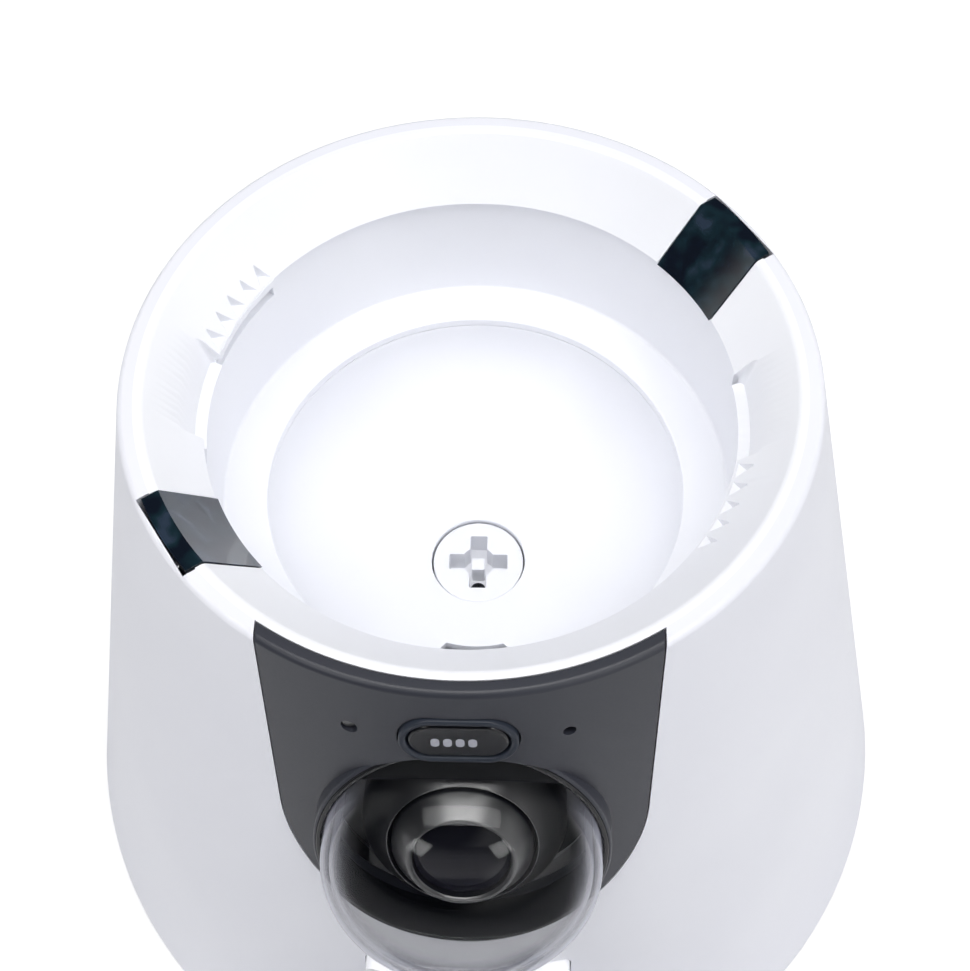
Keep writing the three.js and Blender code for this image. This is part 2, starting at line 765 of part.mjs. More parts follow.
function gearOutline(teeth, phase) {
  const pitchAngle = (2 * Math.PI) / teeth;
  const [foot, tip] = [toothFootWidthShare / 2, toothTipWidthShare / 2];
  const corners = [
    [-foot, footRadius(teeth)], [-tip, tipRadius(teeth)], [tip, tipRadius(teeth)], [foot, footRadius(teeth)],
  ];
  const points = Array.from({ length: teeth }, (unused, tooth) => corners.map(([share, radius]) => {
    const angle = (tooth + share) * pitchAngle + phase;
    return [radius * Math.cos(angle), radius * Math.sin(angle)];
  }));
  return polygon(points.flat());
}

// Axes of the train from the hub back to the motor, with each gear's phase so that the teeth are in mesh.
function gearTrain() {
  const direction = (angle) => new THREE.Vector2(...polar(1, angle));
  const phaseTowards = (way) => Math.atan2(way.y, way.x);
  const phaseBetween = (way, teeth) => phaseTowards(way.clone().negate()) + Math.PI / teeth;
  const [toSecond, toFirst, toPinion] = [secondWheelAngle, firstWheelAngle, pinionAngle].map(direction);
  const hub = new THREE.Vector2(0, 0);
  const second = hub.clone().addScaledVector(toSecond, pitchRadius(outputTeeth) + pitchRadius(smallTeeth));
  const first = second.clone().addScaledVector(toFirst, pitchRadius(wheelTeeth) + pitchRadius(smallTeeth));
  const pinion = first.clone().addScaledVector(toPinion, pitchRadius(wheelTeeth) + pitchRadius(pinionTeeth));
  const tips = [[hub, outputTeeth], [second, wheelTeeth], [first, wheelTeeth], [pinion, pinionTeeth]];
  const reach = (sign, axis) => Math.max(...tips.map(([place, teeth]) => {
    return sign * place[axis] + tipRadius(teeth);
  }));
  return {
    second, first, pinion,
    outputPhase: phaseTowards(toSecond),
    secondSmallPhase: phaseBetween(toSecond, smallTeeth),
    secondWheelPhase: phaseTowards(toFirst),
    firstSmallPhase: phaseBetween(toFirst, smallTeeth),
    firstWheelPhase: phaseTowards(toPinion),
    pinionPhase: phaseBetween(toPinion, pinionTeeth),
    right: reach(1, 'x'),
    left: -reach(-1, 'x'),
    back: reach(1, 'y'),
    front: -reach(-1, 'y'),
  };
}

const train = gearTrain();
const levelBottom = (level) => boxInside + gap + level * gearLevelPitch;
const onAxis = (axis) => shift(axis.x, axis.y, 0);

function gearSolid(teeth, phase, level) {
  const low = levelBottom(level);
  return toSolid(upright(gearOutline(teeth, phase), low, low + gearWidth));
}

function outputGear() {
  const shaft = toSolid(cylinder(shaftRadius, levelBottom(0), shaftTop - gap, smallSegments));
  return gearSolid(outputTeeth, train.outputPhase, 0).add(shaft);
}

// A wheel with its smaller gear one level below it, bored for its pin.
function compoundGear(wheelPhase, smallPhase, wheelLevel) {
  const low = levelBottom(wheelLevel - 1);
  const high = levelBottom(wheelLevel) + gearWidth;
  const small = toSolid(upright(gearOutline(smallTeeth, smallPhase), low, high - gearWidth / 2));
  const bore = toSolid(cylinder(pinRadius + runningGap, low - overrun, high + overrun, smallSegments));
  return gearSolid(wheelTeeth, wheelPhase, wheelLevel).add(small).subtract(bore);
}

function motorPinion() {
  const top = levelBottom(2) + gearWidth;
  const shaft = toSolid(cylinder(motorShaftRadius, boxBottom - boxPlate, top, smallSegments));
  return gearSolid(pinionTeeth, train.pinionPhase, 2).add(shaft);
}

function gearPin() {
  return toSolid(cylinder(pinRadius, boxInside - boxPlate / 2, boxTop - gap, smallSegments));
}

// Gearbox

function boxSolid(wall, bottom, top) {
  const side = boxSideClearance + wall;
  const halfX = (train.right - train.left) / 2 + side;
  const halfY = (train.back - train.front) / 2 + side;
  const shape = roundedRectangle(halfX, halfY, boxSideClearance + boxWall);
  const centre = shift((train.right + train.left) / 2, (train.back + train.front) / 2, 0);
  return placed(upright(shape, bottom, top, cornerSteps), centre);
}

function gearboxEars() {
  const reach = boxSideClearance + boxWall + earReach;
  const [left, right] = [train.left - reach, train.right + reach];
  const [front, back] = [train.front + frontEarInset, train.back - backEarInset];
  return [[left, front], [right, front], [left, back], [right, back]];
}

function gearboxCase() {
  const hollow = boxSolid(0, boxInside, boxTop + overrun);
  const holeTop = boxInside + overrun;
  const pinFoot = boxInside - boxPlate / 2 - gap;
  const shaftHole = cylinder(motorShaftRadius + 2 * gap, boxBottom - overrun, holeTop, smallSegments);
  const pinHole = cylinder(pinRadius + runningGap, pinFoot, holeTop, smallSegments);
  const holes = [
    placed(shaftHole, onAxis(train.pinion)), placed(pinHole, onAxis(train.first)),
    placed(pinHole, onAxis(train.second)),
  ];
  return cutBy(boxSolid(boxWall, boxBottom, boxTop), [hollow, ...holes]);
}

function gearboxCover() {
  const ears = gearboxEars().map(([x, y]) => {
    const inward = (earReach + boxWall) * -Math.sign(x);
    const [from, to] = [Math.min(x, x + inward), Math.max(x, x + inward)];
    const arm = toSolid(block(from, to, y - earRadius, y + earRadius, coverBottom, coverTop));
    return arm.add(placed(cylinder(earRadius, coverBottom, coverTop, smallSegments), shift(x, y, 0)));
  });
  const [low, high] = [coverBottom - overrun, coverTop + overrun];
  const screwHole = cylinder(screwRadius + gap, low, high, tinySegments);
  const holes = gearboxEars().map(([x, y]) => placed(screwHole, shift(x, y, 0)));
  const shaftHole = toSolid(cylinder(shaftRadius + gap, low, high, smallSegments));
  return cutBy(joined([boxSolid(boxWall, coverBottom, coverTop), ...ears]), [shaftHole, ...holes]);
}

function motorBody() {
  const top = boxBottom - gap;
  const bottom = top - motorLength;
  const can = toSolid(cylinder(motorRadius, bottom, top));
  const sides = block(-motorRadius, motorRadius, -motorFlat, motorFlat, bottom, top);
  const bearing = toSolid(cylinder(motorBearingRadius, bottom - motorBearingHeight, bottom, smallSegments));
  const bore = cylinder(motorShaftRadius + gap, top - boxPlate - overrun, top + overrun, smallSegments);
  return can.intersect(toSolid(sides)).add(bearing).subtract(toSolid(bore));
}

// Chute

// A side outline drawn in Y and Z, pushed along X.
function sideways(shape, halfWidth) {
  const turn = new THREE.Matrix4().makeBasis(
    new THREE.Vector3(0, 1, 0), new THREE.Vector3(0, 0, 1), new THREE.Vector3(1, 0, 0),
  );
  return placed(upright(shape, -halfWidth, halfWidth), turn);
}

function chuteSide(wall) {
  const lipY = -coneRadius(outletFloor) - outletLip;
  return polygon([
    [-chuteBack + wall, bowlTop], [-chuteBack + wall, chuteFloorTop - wall],
    [outletBackY(), outletFloor - wall], [lipY - overrun, outletFloor - wall],
    [lipY - overrun, outletRoof + wall], [outletBackY(), outletRoof + wall],
    [-chuteFront - wall, chuteRoofTop + wall], [-chuteFront - wall, bowlTop],
  ]);
}

function chute() {
  const outer = sideways(chuteSide(chuteWall), chuteHalfWidth + chuteWall);
  const inner = sideways(chuteSide(0), chuteHalfWidth);
  const behindWall = toSolid(block(-baseRadius, baseRadius, outletBackY(), 0, 0, rimTop));
  const trimmed = outer.intersect(behindWall.add(outletPrism(0))).intersect(coneSolid(outletLip));
  return cutBy(trimmed, [inner, bowlAndAbove(gap)]);
}

// Front panel

function panelSkin() {
  const backTop = rimTop - seatFlangeThickness - gap - panelWall / 2;
  return toSolid(revolved([
    ...skinLine(skinFoot), [coneRadius(backTop) - panelWall, backTop],
    [coneRadius(skinFoot) - panelWall, skinFoot],
  ]));
}

// How far the panel's wall has curved away from the flat board at a distance to the side.
function wallDrop(aside) {
  const radius = coneRadius(rimTop - controlsDepth);
  return radius - Math.sqrt(radius * radius - aside * aside);
}

const besideButton = (side) => controlsFrame.clone().multiply(shift(side * controlsOffset, 0, 0));

// A small hole beside the button, bored along the button's own axis.
function sideHole(radius, side) {
  const back = -wallDrop(controlsOffset + radius) - panelWall - overrun;
  return placed(cylinder(radius, back, overrun, smallSegments), besideButton(side));
}

// The room that the ring and the button behind it need, with the button pressed.
function buttonRoom() {
  const back = -ringBack - buttonFlange - buttonTravel - 2 * gap;
  const room = upright(capsule(ringWidth + 2 * gap, ringHeight + 2 * gap), back, 2 * overrun);
  return placed(room, controlsFrame);
}

// The room that the control board and its switches need.
function boardRoom() {
  const [x, y] = [controlBoardHalfWidth + gap, controlBoardHalfHeight + gap];
  const back = -controlBoardDepth - controlBoardThickness - gap;
  const front = -controlBoardDepth + feedSwitchHeight + feedPlungerHeight + 2 * gap;
  return placed(block(-x, x, -y, y, back, front), controlsFrame);
}

function controlBosses() {
  const boss = cylinder(controlBossRadius, -controlBoardDepth + gap, 0, smallSegments);
  const insidePanel = coneSolid(-panelWall / 2);
  return [-1, 1].map((side) => {
    const place = controlsFrame.clone().multiply(shift(side * controlBossOffset, 0, 0));
    return placed(boss, place).intersect(insidePanel);
  });
}

function cameraWell() {
  const outer = cylinder(wellOuterRadius, -wellDepth, overrun, bowlSegments);
  return placed(outer, cameraFrame).intersect(coneSolid(-panelWall / 2)).subtract(boardRoom());
}

function frontPanel() {
  const skin = panelSkin().intersect(panelPrism(0));
  const bore = cylinder(bezelOuterRadius + gap, -wellDepth - overrun, wellDepth, bowlSegments);
  const cuts = [
    buttonRoom(), sideHole(micHoleRadius, 1), sideHole(resetHoleRadius, -1), placed(bore, cameraFrame),
  ];
  return cutBy(joined([skin, cameraWell(), ...controlBosses()]), cuts);
}

// Feed button and its ring

function buttonRing() {
  const outer = toSolid(upright(capsule(ringWidth, ringHeight), -ringBack, ringProud));
  const inner = capsule(ringWidth - 2 * ringBand, ringHeight - 2 * ringBand);
  return outer.subtract(toSolid(upright(inner, -ringBack - overrun, ringProud + overrun)));
}

const feedSwitchTop = -controlBoardDepth + gap + feedSwitchHeight + feedPlungerHeight;

function feedButton() {
  const trim = 2 * (ringBand + gap);
  const flangeTop = -ringBack - gap;
  const flangeLow = flangeTop - buttonFlange;
  const cap = upright(capsule(ringWidth - trim, ringHeight - trim), flangeLow, buttonProud);
  const wide = 2 * (ringBand - buttonFlange);
  const flange = upright(capsule(ringWidth - wide, ringHeight - wide), flangeLow, flangeTop);
  const stem = cylinder(stemRadius, feedSwitchTop + buttonTravel + gap, flangeTop, smallSegments);
  return joined([cap, flange, stem].map(toSolid));
}

function feedSwitch() {
  const half = feedSwitchSide / 2;
  const base = -controlBoardDepth + gap;
  const body = toSolid(block(-half, half, -half, half, base, base + feedSwitchHeight));
  const plunger = cylinder(feedPlungerRadius, base + feedSwitchHeight / 2, feedSwitchTop, smallSegments);
  return body.add(toSolid(plunger));
}

function resetButton() {
  const front = -wallDrop(controlsOffset) - resetRecess;
  const back = -controlBoardDepth + gap + resetSwitchHeight + resetTravel + gap;
  const collarTop = -wallDrop(controlsOffset + resetCollarRadius) - panelWall - gap;
  const pin = toSolid(cylinder(resetHoleRadius - gap, back, front, smallSegments));
  const collar = cylinder(resetCollarRadius, collarTop - resetCollarHeight, collarTop, smallSegments);
  return pin.add(toSolid(collar));
}

function resetSwitch() {
  const half = resetSwitchSide / 2;
  const base = -controlBoardDepth + gap;
  return toSolid(block(-half, half, -half, half, base, base + resetSwitchHeight));
}

function microphone() {
  const base = -controlBoardDepth + gap;
  const front = -wallDrop(controlsOffset + micRadius) - panelWall - gap;
  return toSolid(revolved([
    [0, base], [micRadius, base], [micRadius, front - gap], [micRadius - gap, front], [0, front],
  ], smallSegments));
}

function controlBoard() {
  const [x, y] = [controlBoardHalfWidth, controlBoardHalfHeight];
  return toSolid(block(-x, x, -y, y, -controlBoardDepth - controlBoardThickness, -controlBoardDepth));
}

// Camera

function cameraBezel() {
  const ring = placed(cylinder(bezelOuterRadius, -bezelDepth, wellDepth, bowlSegments), cameraFrame);
  const bore = cylinder(domeRadius + gap, -bezelDepth - overrun, wellDepth + overrun, bowlSegments);
  return cutBy(ring.intersect(coneSolid(bezelProud)), [placed(bore, cameraFrame), buttonRoom()]);
}

function domeLine(radius, height, from) {
  return Array.from({ length: arcSteps + 1 }, (unused, i) => {
    const angle = (Math.PI / 2) * (i / arcSteps);
    return [radius * Math.cos(angle), from + height * Math.sin(angle)];
  });
}

function cameraDome() {
  const flangeTop = -wellDepth - gap;
  const flangeLow = flangeTop - domeFlange;
  const inner = domeRadius - domeWall;
  const dome = placed(revolved([
    [inner, flangeLow], [wellOuterRadius, flangeLow], [wellOuterRadius, flangeTop], [domeRadius, flangeTop],
    ...domeLine(domeRadius, domeHeight, domeSkirt),
    ...domeLine(inner, domeHeight - domeWall, domeSkirt).reverse(),
  ], bowlSegments), cameraFrame);
  return cutBy(dome, [buttonRoom(), boardRoom()]);
}

function cameraShroud() {
  const plate = toSolid(cylinder(wellOuterRadius, shroudBack, shroudBack + shroudPlate));
  const shape = roundedRectangle(shroudHalfWidth, shroudHalfHeight, shroudCorner);
  const body = plate.add(toSolid(upright(shape, shroudBack + shroudPlate / 2, 0, cornerSteps)));
  const bore = toSolid(cylinder(barrelRadius + gap, -barrelSeat - gap, overrun));
  const sensorBore = toSolid(cylinder(sensorBoreRadius, shroudBack - overrun, overrun));
  const board = placed(toGeometry(boardRoom()), cameraFrame.clone().invert());
  return cutBy(body, [bore, sensorBore, board]);
}

function lensBarrel() {
  const front = barrelLength;
  const lensBack = front - lensRecess - lensEdge - lensCrown;
  return toSolid(revolved([
    [barrelRadius, -barrelSeat], [barrelRadius, -2 * gap], [barrelFrontRadius, front],
    [barrelFrontRadius - barrelRim, front], [lensRadius + gap, front - lensRecess],
    [lensRadius + gap, lensBack - gap], [sensorBoreRadius, lensBack - 2 * gap], [sensorBoreRadius, -barrelSeat],
  ], mediumSegments));
}

function lensGlass() {
  const edge = barrelLength - lensRecess - lensCrown;
  const crown = domeLine(lensRadius, lensCrown, edge);
  return toSolid(revolved([[0, edge - lensEdge], [lensRadius, edge - lensEdge], ...crown], mediumSegments));
}

function cameraBoard() {
  const front = shroudBack - gap;
  const [x, y] = [cameraBoardHalfWidth, cameraBoardHalfHeight];
  return toSolid(block(-x, x, -y, y, front - cameraBoardThickness, front));
}

// Base plate and what stands on it

const mainBoardSide = train.pinion.x + motorRadius + mainBoardSpace + mainBoardHalfWidth;

function mainBoardCorners() {
  const x = mainBoardHalfWidth - standoffRadius;
  const y = mainBoardHalfDepth - standoffRadius;
  return [[-x, -y], [x, -y], [-x, y], [x, y]].map(([dx, dy]) => [mainBoardSide + dx, mainBoardBack + dy]);
}

function speakerSlots() {
  return Array.from({ length: speakerSlotCount }, (unused, i) => {
    const x = -speakerOffset + (i - (speakerSlotCount - 1) / 2) * speakerSlotPitch;
    const half = speakerRadius / 2;
    return toSolid(block(
      x - speakerSlotWidth / 2, x + speakerSlotWidth / 2, speakerBack - half, speakerBack + half,
      plateBottom - overrun, plateTop + overrun,
    ));
  });
}

function basePlate() {
  const innerFoot = coneRadius(footHeight) - housingWall - baseBevel / 2;
  const plateRadius = innerFoot - 2 * gap - wallSlope * (plateTop - footHeight);
  const disc = toSolid(cylinder(plateRadius, plateBottom, plateTop, roundSegments));
  const standoff = cylinder(
    standoffRadius, plateBottom + basePlateThickness / 2, plateTop + standoffHeight, tinySegments,
  );
  const standoffs = mainBoardCorners().map(([x, y]) => placed(standoff, shift(x, y, 0)));
  const low = plateBottom - overrun;
  const bore = cylinder(screwRadius + gap, low, plateTop + overrun, tinySegments);
  const headRoom = plateBottom + screwHeadHeight + gap;
  const counterbore = cylinder(screwHeadRadius + gap, low, headRoom, smallSegments);
  const padSeat = cylinder(padRadius + gap, low, plateBottom + padRim, smallSegments);
  const holes = cornerAngles.flatMap((angle) => {
    const screwPlace = shift(...polar(baseBossCircle, angle), 0);
    const padPlace = shift(...polar(padCircle, angle), 0);
    return [placed(bore, screwPlace), placed(counterbore, screwPlace), placed(padSeat, padPlace)];
  });
  return cutBy(joined([disc, ...standoffs]), [...holes, ...speakerSlots()]);
}

function mainBoard() {
  const low = plateTop + standoffHeight + gap;
  const [x, y] = [mainBoardHalfWidth, mainBoardHalfDepth];
  return toSolid(block(
    mainBoardSide - x, mainBoardSide + x, mainBoardBack - y, mainBoardBack + y,
    low, low + mainBoardThickness,
  ));
}

function speaker() {
  const low = plateTop + gap;
  const shoulder = low + (speakerHeight + speakerFlange) / 2;
  return placed(revolved([
    [0, low], [speakerRadius, low], [speakerRadius, low + speakerFlange], [speakerMagnetRadius, shoulder],
    [speakerMagnetRadius, low + speakerHeight], [0, low + speakerHeight],
  ], mediumSegments), shift(-speakerOffset, speakerBack, 0));
}

function powerInlet() {
  const wallY = coneRadius(inletZ);
  const low = inletZ - inletHeight / 2 + gap;
  const side = inletHalfWidth - gap;
  const body = block(-side, side, wallY - inletLength, wallY + housingWall, low, low + inletHeight - 2 * gap);
  const face = new THREE.Matrix4().makeRotationX(-Math.PI / 2);
  face.setPosition(0, wallY - inletSocketDepth, inletZ);
  const socket = placed(cylinder(inletSocketRadius, 0, 2 * inletSocketDepth, smallSegments), face);
  const pin = placed(cylinder(inletPinRadius, -overrun, inletSocketDepth - overrun, tinySegments), face);
  return toSolid(body).intersect(coneSolid(0)).subtract(socket).add(pin);
}

function rubberFoot() {
  const top = plateBottom + padRim - gap;
  return toSolid(revolved([
    [0, 0], [padRadius - padBevel, 0], [padRadius, padBevel], [padRadius, top], [0, top],
  ], smallSegments));
}

function screw() {
  const shank = toSolid(cylinder(screwRadius, 0, screwLength, tinySegments));
  return shank.add(toSolid(cylinder(screwHeadRadius, -screwHeadHeight, 0, smallSegments)));
}

// Bowl tray and steel bowl

function bowlTray() {
  const shell = placed(revolved([
    [0, 0], [trayRadius - baseBevel, 0], [trayRadius, baseBevel], [trayRadius, trayHeight - trayWall],
    [trayMouthRadius + trayRimWidth, trayHeight], [trayMouthRadius, trayHeight], [trayFloorRadius, trayWall],
    [0, trayWall],
  ]), shift(0, trayY, 0));
  const tongueBack = -coneRadius(tongueZ) + tongueReach;
  const tongue = toSolid(block(
    -tongueHalfWidth, tongueHalfWidth, trayY + trayFloorRadius / 2, tongueBack,
    tongueZ - tongueThickness / 2, tongueZ + tongueThickness / 2,
  ));
  const hollow = placed(revolved([
    [0, trayWall], [trayFloorRadius, trayWall], [trayMouthRadius, trayHeight], [0, trayHeight],
  ]), shift(0, trayY, 0));
  return shell.subtract(coneSolid(gap)).add(tongue.subtract(hollow));
}

function steelBowl() {
  const top = trayHeight + gap + steelThickness;
  const floor = top - steelDepth;
  const inner = steelFloorRadius - steelThickness;
  return toSolid(revolved([
    [0, floor - steelThickness], [inner, floor - steelThickness], [steelFloorRadius, floor],
    [steelRadius + steelThickness, top - steelThickness], [steelFlangeRadius, top - steelThickness],
    [steelFlangeRadius, top], [steelRadius, top], [inner, floor], [0, floor],
  ]));
}

// The assembly. Its origin lies below the middle of the footprint, from the tray's front to the housing's
// back.

const feeder = new THREE.Group();
const assembly = new THREE.Group();
assembly.position.y = (trayRadius - trayY - coneRadius(skinFoot)) / 2;
feeder.add(assembly);

function add(name, solid, material, matrix = new THREE.Matrix4(), parent = assembly) {
  const mesh = new THREE.Mesh(toGeometry(solid), material);
  mesh.name = name;
  mesh.applyMatrix4(matrix);
  parent.add(mesh);
}

function framedGroup(matrix) {
  const frame = new THREE.Group();
  frame.applyMatrix4(matrix);
  assembly.add(frame);
  return frame;
}

const home = new THREE.Matrix4();

add('outer_housing', outerHousing(), materials.shell);
add('hopper_seat', hopperSeat(), materials.seat);
add('metering_bowl', meteringBowl(), materials.seat);
windowAngles.forEach((angle, i) => {
  const side = ['left', 'right'][i];
  add(`ir_window_${side}`, infraredWindow(angle), materials.smoke);
  add(`ir_board_${side}`, sensorBoard(), materials.board, sensorBoardPlace(angle));
});

add('front_panel', frontPanel(), materials.panel);
const controls = framedGroup(controlsFrame);
const beside = (side) => shift(side * controlsOffset, 0, 0);
add('button_ring', buttonRing(), materials.ring, home, controls);
add('feed_button', feedButton(), materials.gloss, home, controls);
add('feed_switch', feedSwitch(), materials.black, home, controls);
add('reset_button', resetButton(), materials.black, beside(-1), controls);
add('reset_switch', resetSwitch(), materials.black, beside(-1), controls);
add('microphone', microphone(), materials.steel, beside(1), controls);
add('control_board', controlBoard(), materials.board, home, controls);

add('camera_bezel', cameraBezel(), materials.gloss);
add('camera_dome', cameraDome(), materials.dome);
const camera = framedGroup(cameraFrame);
add('camera_shroud', cameraShroud(), materials.black, home, camera);
add('lens_barrel', lensBarrel(), materials.black, home, camera);
add('lens_glass', lensGlass(), materials.lens, home, camera);
add('camera_board', cameraBoard(), materials.board, home, camera);

const secondGear = compoundGear(train.secondWheelPhase, train.secondSmallPhase, 1);
const firstGear = compoundGear(train.firstWheelPhase, train.firstSmallPhase, 2);
add('drive_hub', driveHub(), materials.seat);
add('hub_screw', hubScrew(), materials.metal, hubScrewPlace());
add('shaft_seal', shaftSeal(), materials.rubber);
add('output_gear', outputGear(), materials.gear);
add('second_gear', secondGear, materials.gear, onAxis(train.second));
add('first_gear', firstGear, materials.gear, onAxis(train.first));
add('motor_pinion', motorPinion(), materials.metal, onAxis(train.pinion));
add('second_gear_pin', gearPin(), materials.metal, onAxis(train.second));
add('first_gear_pin', gearPin(), materials.metal, onAxis(train.first));
add('gearbox_case', gearboxCase(), materials.inner);
add('gearbox_cover', gearboxCover(), materials.inner);
add('motor', motorBody(), materials.steel, onAxis(train.pinion));
gearboxEars().forEach(([x, y], i) => {
  add(`gearbox_screw_${i + 1}`, screw(), materials.steel, shift(x, y, coverBottom - gap));
});

add('chute', chute(), materials.seat);
add('base_plate', basePlate(), materials.shell);
add('main_board', mainBoard(), materials.board);
add('speaker', speaker(), materials.inner);
add('power_inlet', powerInlet(), materials.black);
cornerAngles.forEach((angle, i) => {
  const screwPlace = shift(...polar(baseBossCircle, angle), plateBottom + screwHeadHeight);
  add(`rubber_foot_${i + 1}`, rubberFoot(), materials.rubber, shift(...polar(padCircle, angle), 0));
  add(`base_screw_${i + 1}`, screw(), materials.steel, screwPlace);
});

add('bowl_tray', bowlTray(), materials.shell);
add('steel_bowl', steelBowl(), materials.steel, shift(0, trayY, 0));

export default feeder;
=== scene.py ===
import json
import math

import bmesh
import bpy
from mathutils import Matrix, Vector


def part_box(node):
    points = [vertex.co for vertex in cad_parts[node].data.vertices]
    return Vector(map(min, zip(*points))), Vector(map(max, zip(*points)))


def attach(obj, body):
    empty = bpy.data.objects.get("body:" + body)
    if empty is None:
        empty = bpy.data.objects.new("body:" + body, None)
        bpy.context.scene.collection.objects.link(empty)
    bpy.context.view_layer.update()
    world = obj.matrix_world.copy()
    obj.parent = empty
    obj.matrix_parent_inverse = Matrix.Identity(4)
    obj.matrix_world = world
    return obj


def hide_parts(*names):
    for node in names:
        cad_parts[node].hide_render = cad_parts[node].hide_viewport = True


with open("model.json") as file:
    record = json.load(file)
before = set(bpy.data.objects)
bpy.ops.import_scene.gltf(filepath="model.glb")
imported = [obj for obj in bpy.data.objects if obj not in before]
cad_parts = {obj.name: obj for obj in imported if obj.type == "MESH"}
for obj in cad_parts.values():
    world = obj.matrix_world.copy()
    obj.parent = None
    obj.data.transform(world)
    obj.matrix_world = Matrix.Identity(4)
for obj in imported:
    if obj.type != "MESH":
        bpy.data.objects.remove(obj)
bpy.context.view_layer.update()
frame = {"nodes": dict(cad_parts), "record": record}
nodes = frame["nodes"]
print("frame loaded:", len(nodes), "nodes")

# Sizes are in millimetres round the housing's axis, and the mesh is moved to the row frame at the end.
mm = 0.001
hubLow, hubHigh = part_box("drive_hub")
axisY = (hubLow.y + hubHigh.y) / 2
toRow = Matrix.Translation((0, axisY, 0)) @ Matrix.Scale(mm, 4)
overrun = 2
sharpAngle = math.radians(35)

cone = {"rimRadius": 75, "footRadius": 118.5, "rimZ": 185, "footZ": 3}
coneSlope = (cone["footRadius"] - cone["rimRadius"]) / (cone["rimZ"] - cone["footZ"])
coneTilt = math.atan(coneSlope)


def coneRadius(z):
    return cone["rimRadius"] + coneSlope * (cone["rimZ"] - z)


# A place on the housing's front: x to the side, y uphill and z out of the wall
def frontPlace(depth, tilt):
    z = cone["rimZ"] - depth
    up = Vector((0, math.sin(tilt), math.cos(tilt)))
    out = Vector((0, -math.cos(tilt), math.sin(tilt)))
    turn = Matrix((Vector((1, 0, 0)), up, out)).transposed().to_4x4()
    return Matrix.Translation((0, -coneRadius(z), z)) @ turn


controlsPlace = frontPlace(13.9, coneTilt)
domePlace = frontPlace(50, math.radians(21))
lensPlace = frontPlace(50.8, math.radians(29))

# The feed button's opening, and the radius of each small hole beside it by its place to the side
controls = {"width": 24.2, "height": 14, "corner": 7, "holes": {-21.6: 1.7, 21.6: 1.3}}


# Modelling helpers

def roundCorners(bm, verts, points, segments):
    for vert, point in zip(verts, points):
        if len(point) == 3:
            bmesh.ops.bevel(bm, geom=[vert], offset=point[2], offset_type="OFFSET", affect="VERTICES",
                            segments=segments, profile=0.5, material=-1)


def wire(points, closed, flat, segments=6):
    bm = bmesh.new()
    verts = [bm.verts.new((p[0], p[1], 0) if flat else (0, -p[0], p[1])) for p in points]
    pairs = list(zip(verts, verts[1:])) + ([(verts[-1], verts[0])] if closed else [])
    for pair in pairs:
        bm.edges.new(pair)
    roundCorners(bm, verts, points, segments)
    bmesh.ops.remove_doubles(bm, verts=bm.verts, dist=1e-4)
    return bm


def cleaned(bm):
    bmesh.ops.remove_doubles(bm, verts=bm.verts, dist=1e-3)
    bmesh.ops.recalc_face_normals(bm, faces=bm.faces)
    return bm


# A section of (radius, height, corner) points spun about the upright axis
def spun(points, closed=True, steps=192, sweep=360, start=0, segments=6):
    bm = wire(points, closed, False, segments)
    bmesh.ops.rotate(bm, verts=bm.verts, cent=(0, 0, 0), matrix=Matrix.Rotation(math.radians(start), 3, "Z"))
    bmesh.ops.spin(bm, geom=bm.verts[:] + bm.edges[:], cent=(0, 0, 0), axis=(0, 0, 1), dvec=(0, 0, 0),
                   angle=math.radians(sweep), steps=steps, use_merge=sweep == 360, use_duplicate=False)
    if sweep != 360:
        bmesh.ops.remove_doubles(bm, verts=bm.verts, dist=1e-4)
        bmesh.ops.holes_fill(bm, edges=bm.edges[:], sides=0)
    return cleaned(bm)


# An outline of (x, y, corner) points pulled up from low to high
def prism(points, low, high, segments=8):
    bm = wire(points, True, True, segments)
    face = bmesh.ops.contextual_create(bm, geom=bm.edges[:])["faces"][0]
    pulled = bmesh.ops.extrude_face_region(bm, geom=[face])
    top = [v for v in pulled["geom"] if isinstance(v, bmesh.types.BMVert)]
    bmesh.ops.translate(bm, verts=top, vec=(0, 0, high - low))
    bmesh.ops.translate(bm, verts=bm.verts, vec=(0, 0, low))
    return cleaned(bm)


def block(xFrom, xTo, yFrom, yTo, zFrom, zTo):
    return prism([(xFrom, yFrom), (xTo, yFrom), (xTo, yTo), (xFrom, yTo)], zFrom, zTo)


def rounded(width, height, corner, low, high, segments=12):
    x, y = width / 2, height / 2
    corner = min(corner, min(x, y) - 0.001)
    return prism([(-x, -y, corner), (x, -y, corner), (x, y, corner), (-x, y, corner)], low, high, segments)


def rod(radius, low, high, steps=64):
    return spun([(0, low), (radius, low), (radius, high), (0, high)], closed=False, steps=steps)


def moved(bm, place):
    bmesh.ops.transform(bm, matrix=place, verts=bm.verts)
    return bm


def turned(bm, degrees):
    return moved(bm, Matrix.Rotation(math.radians(degrees), 4, "Z"))


def workObject(bm, name):
    mesh = bpy.data.meshes.new(name)
    bm.to_mesh(mesh)
    bm.free()
    thing = bpy.data.objects.new(name, mesh)
    bpy.context.scene.collection.objects.link(thing)
    return thing


def combined(bm, other, operation="DIFFERENCE"):
    body, tool = workObject(bm, "body"), workObject(other, "tool")
    cut = body.modifiers.new("cut", "BOOLEAN")
    cut.object = tool
    cut.operation = operation
    cut.solver = "EXACT"
    mesh = bpy.data.meshes.new_from_object(body.evaluated_get(bpy.context.evaluated_depsgraph_get()))
    for thing in (body, tool):
        bpy.data.objects.remove(thing)
    result = bmesh.new()
    result.from_mesh(mesh)
    bpy.data.meshes.remove(mesh)
    return result


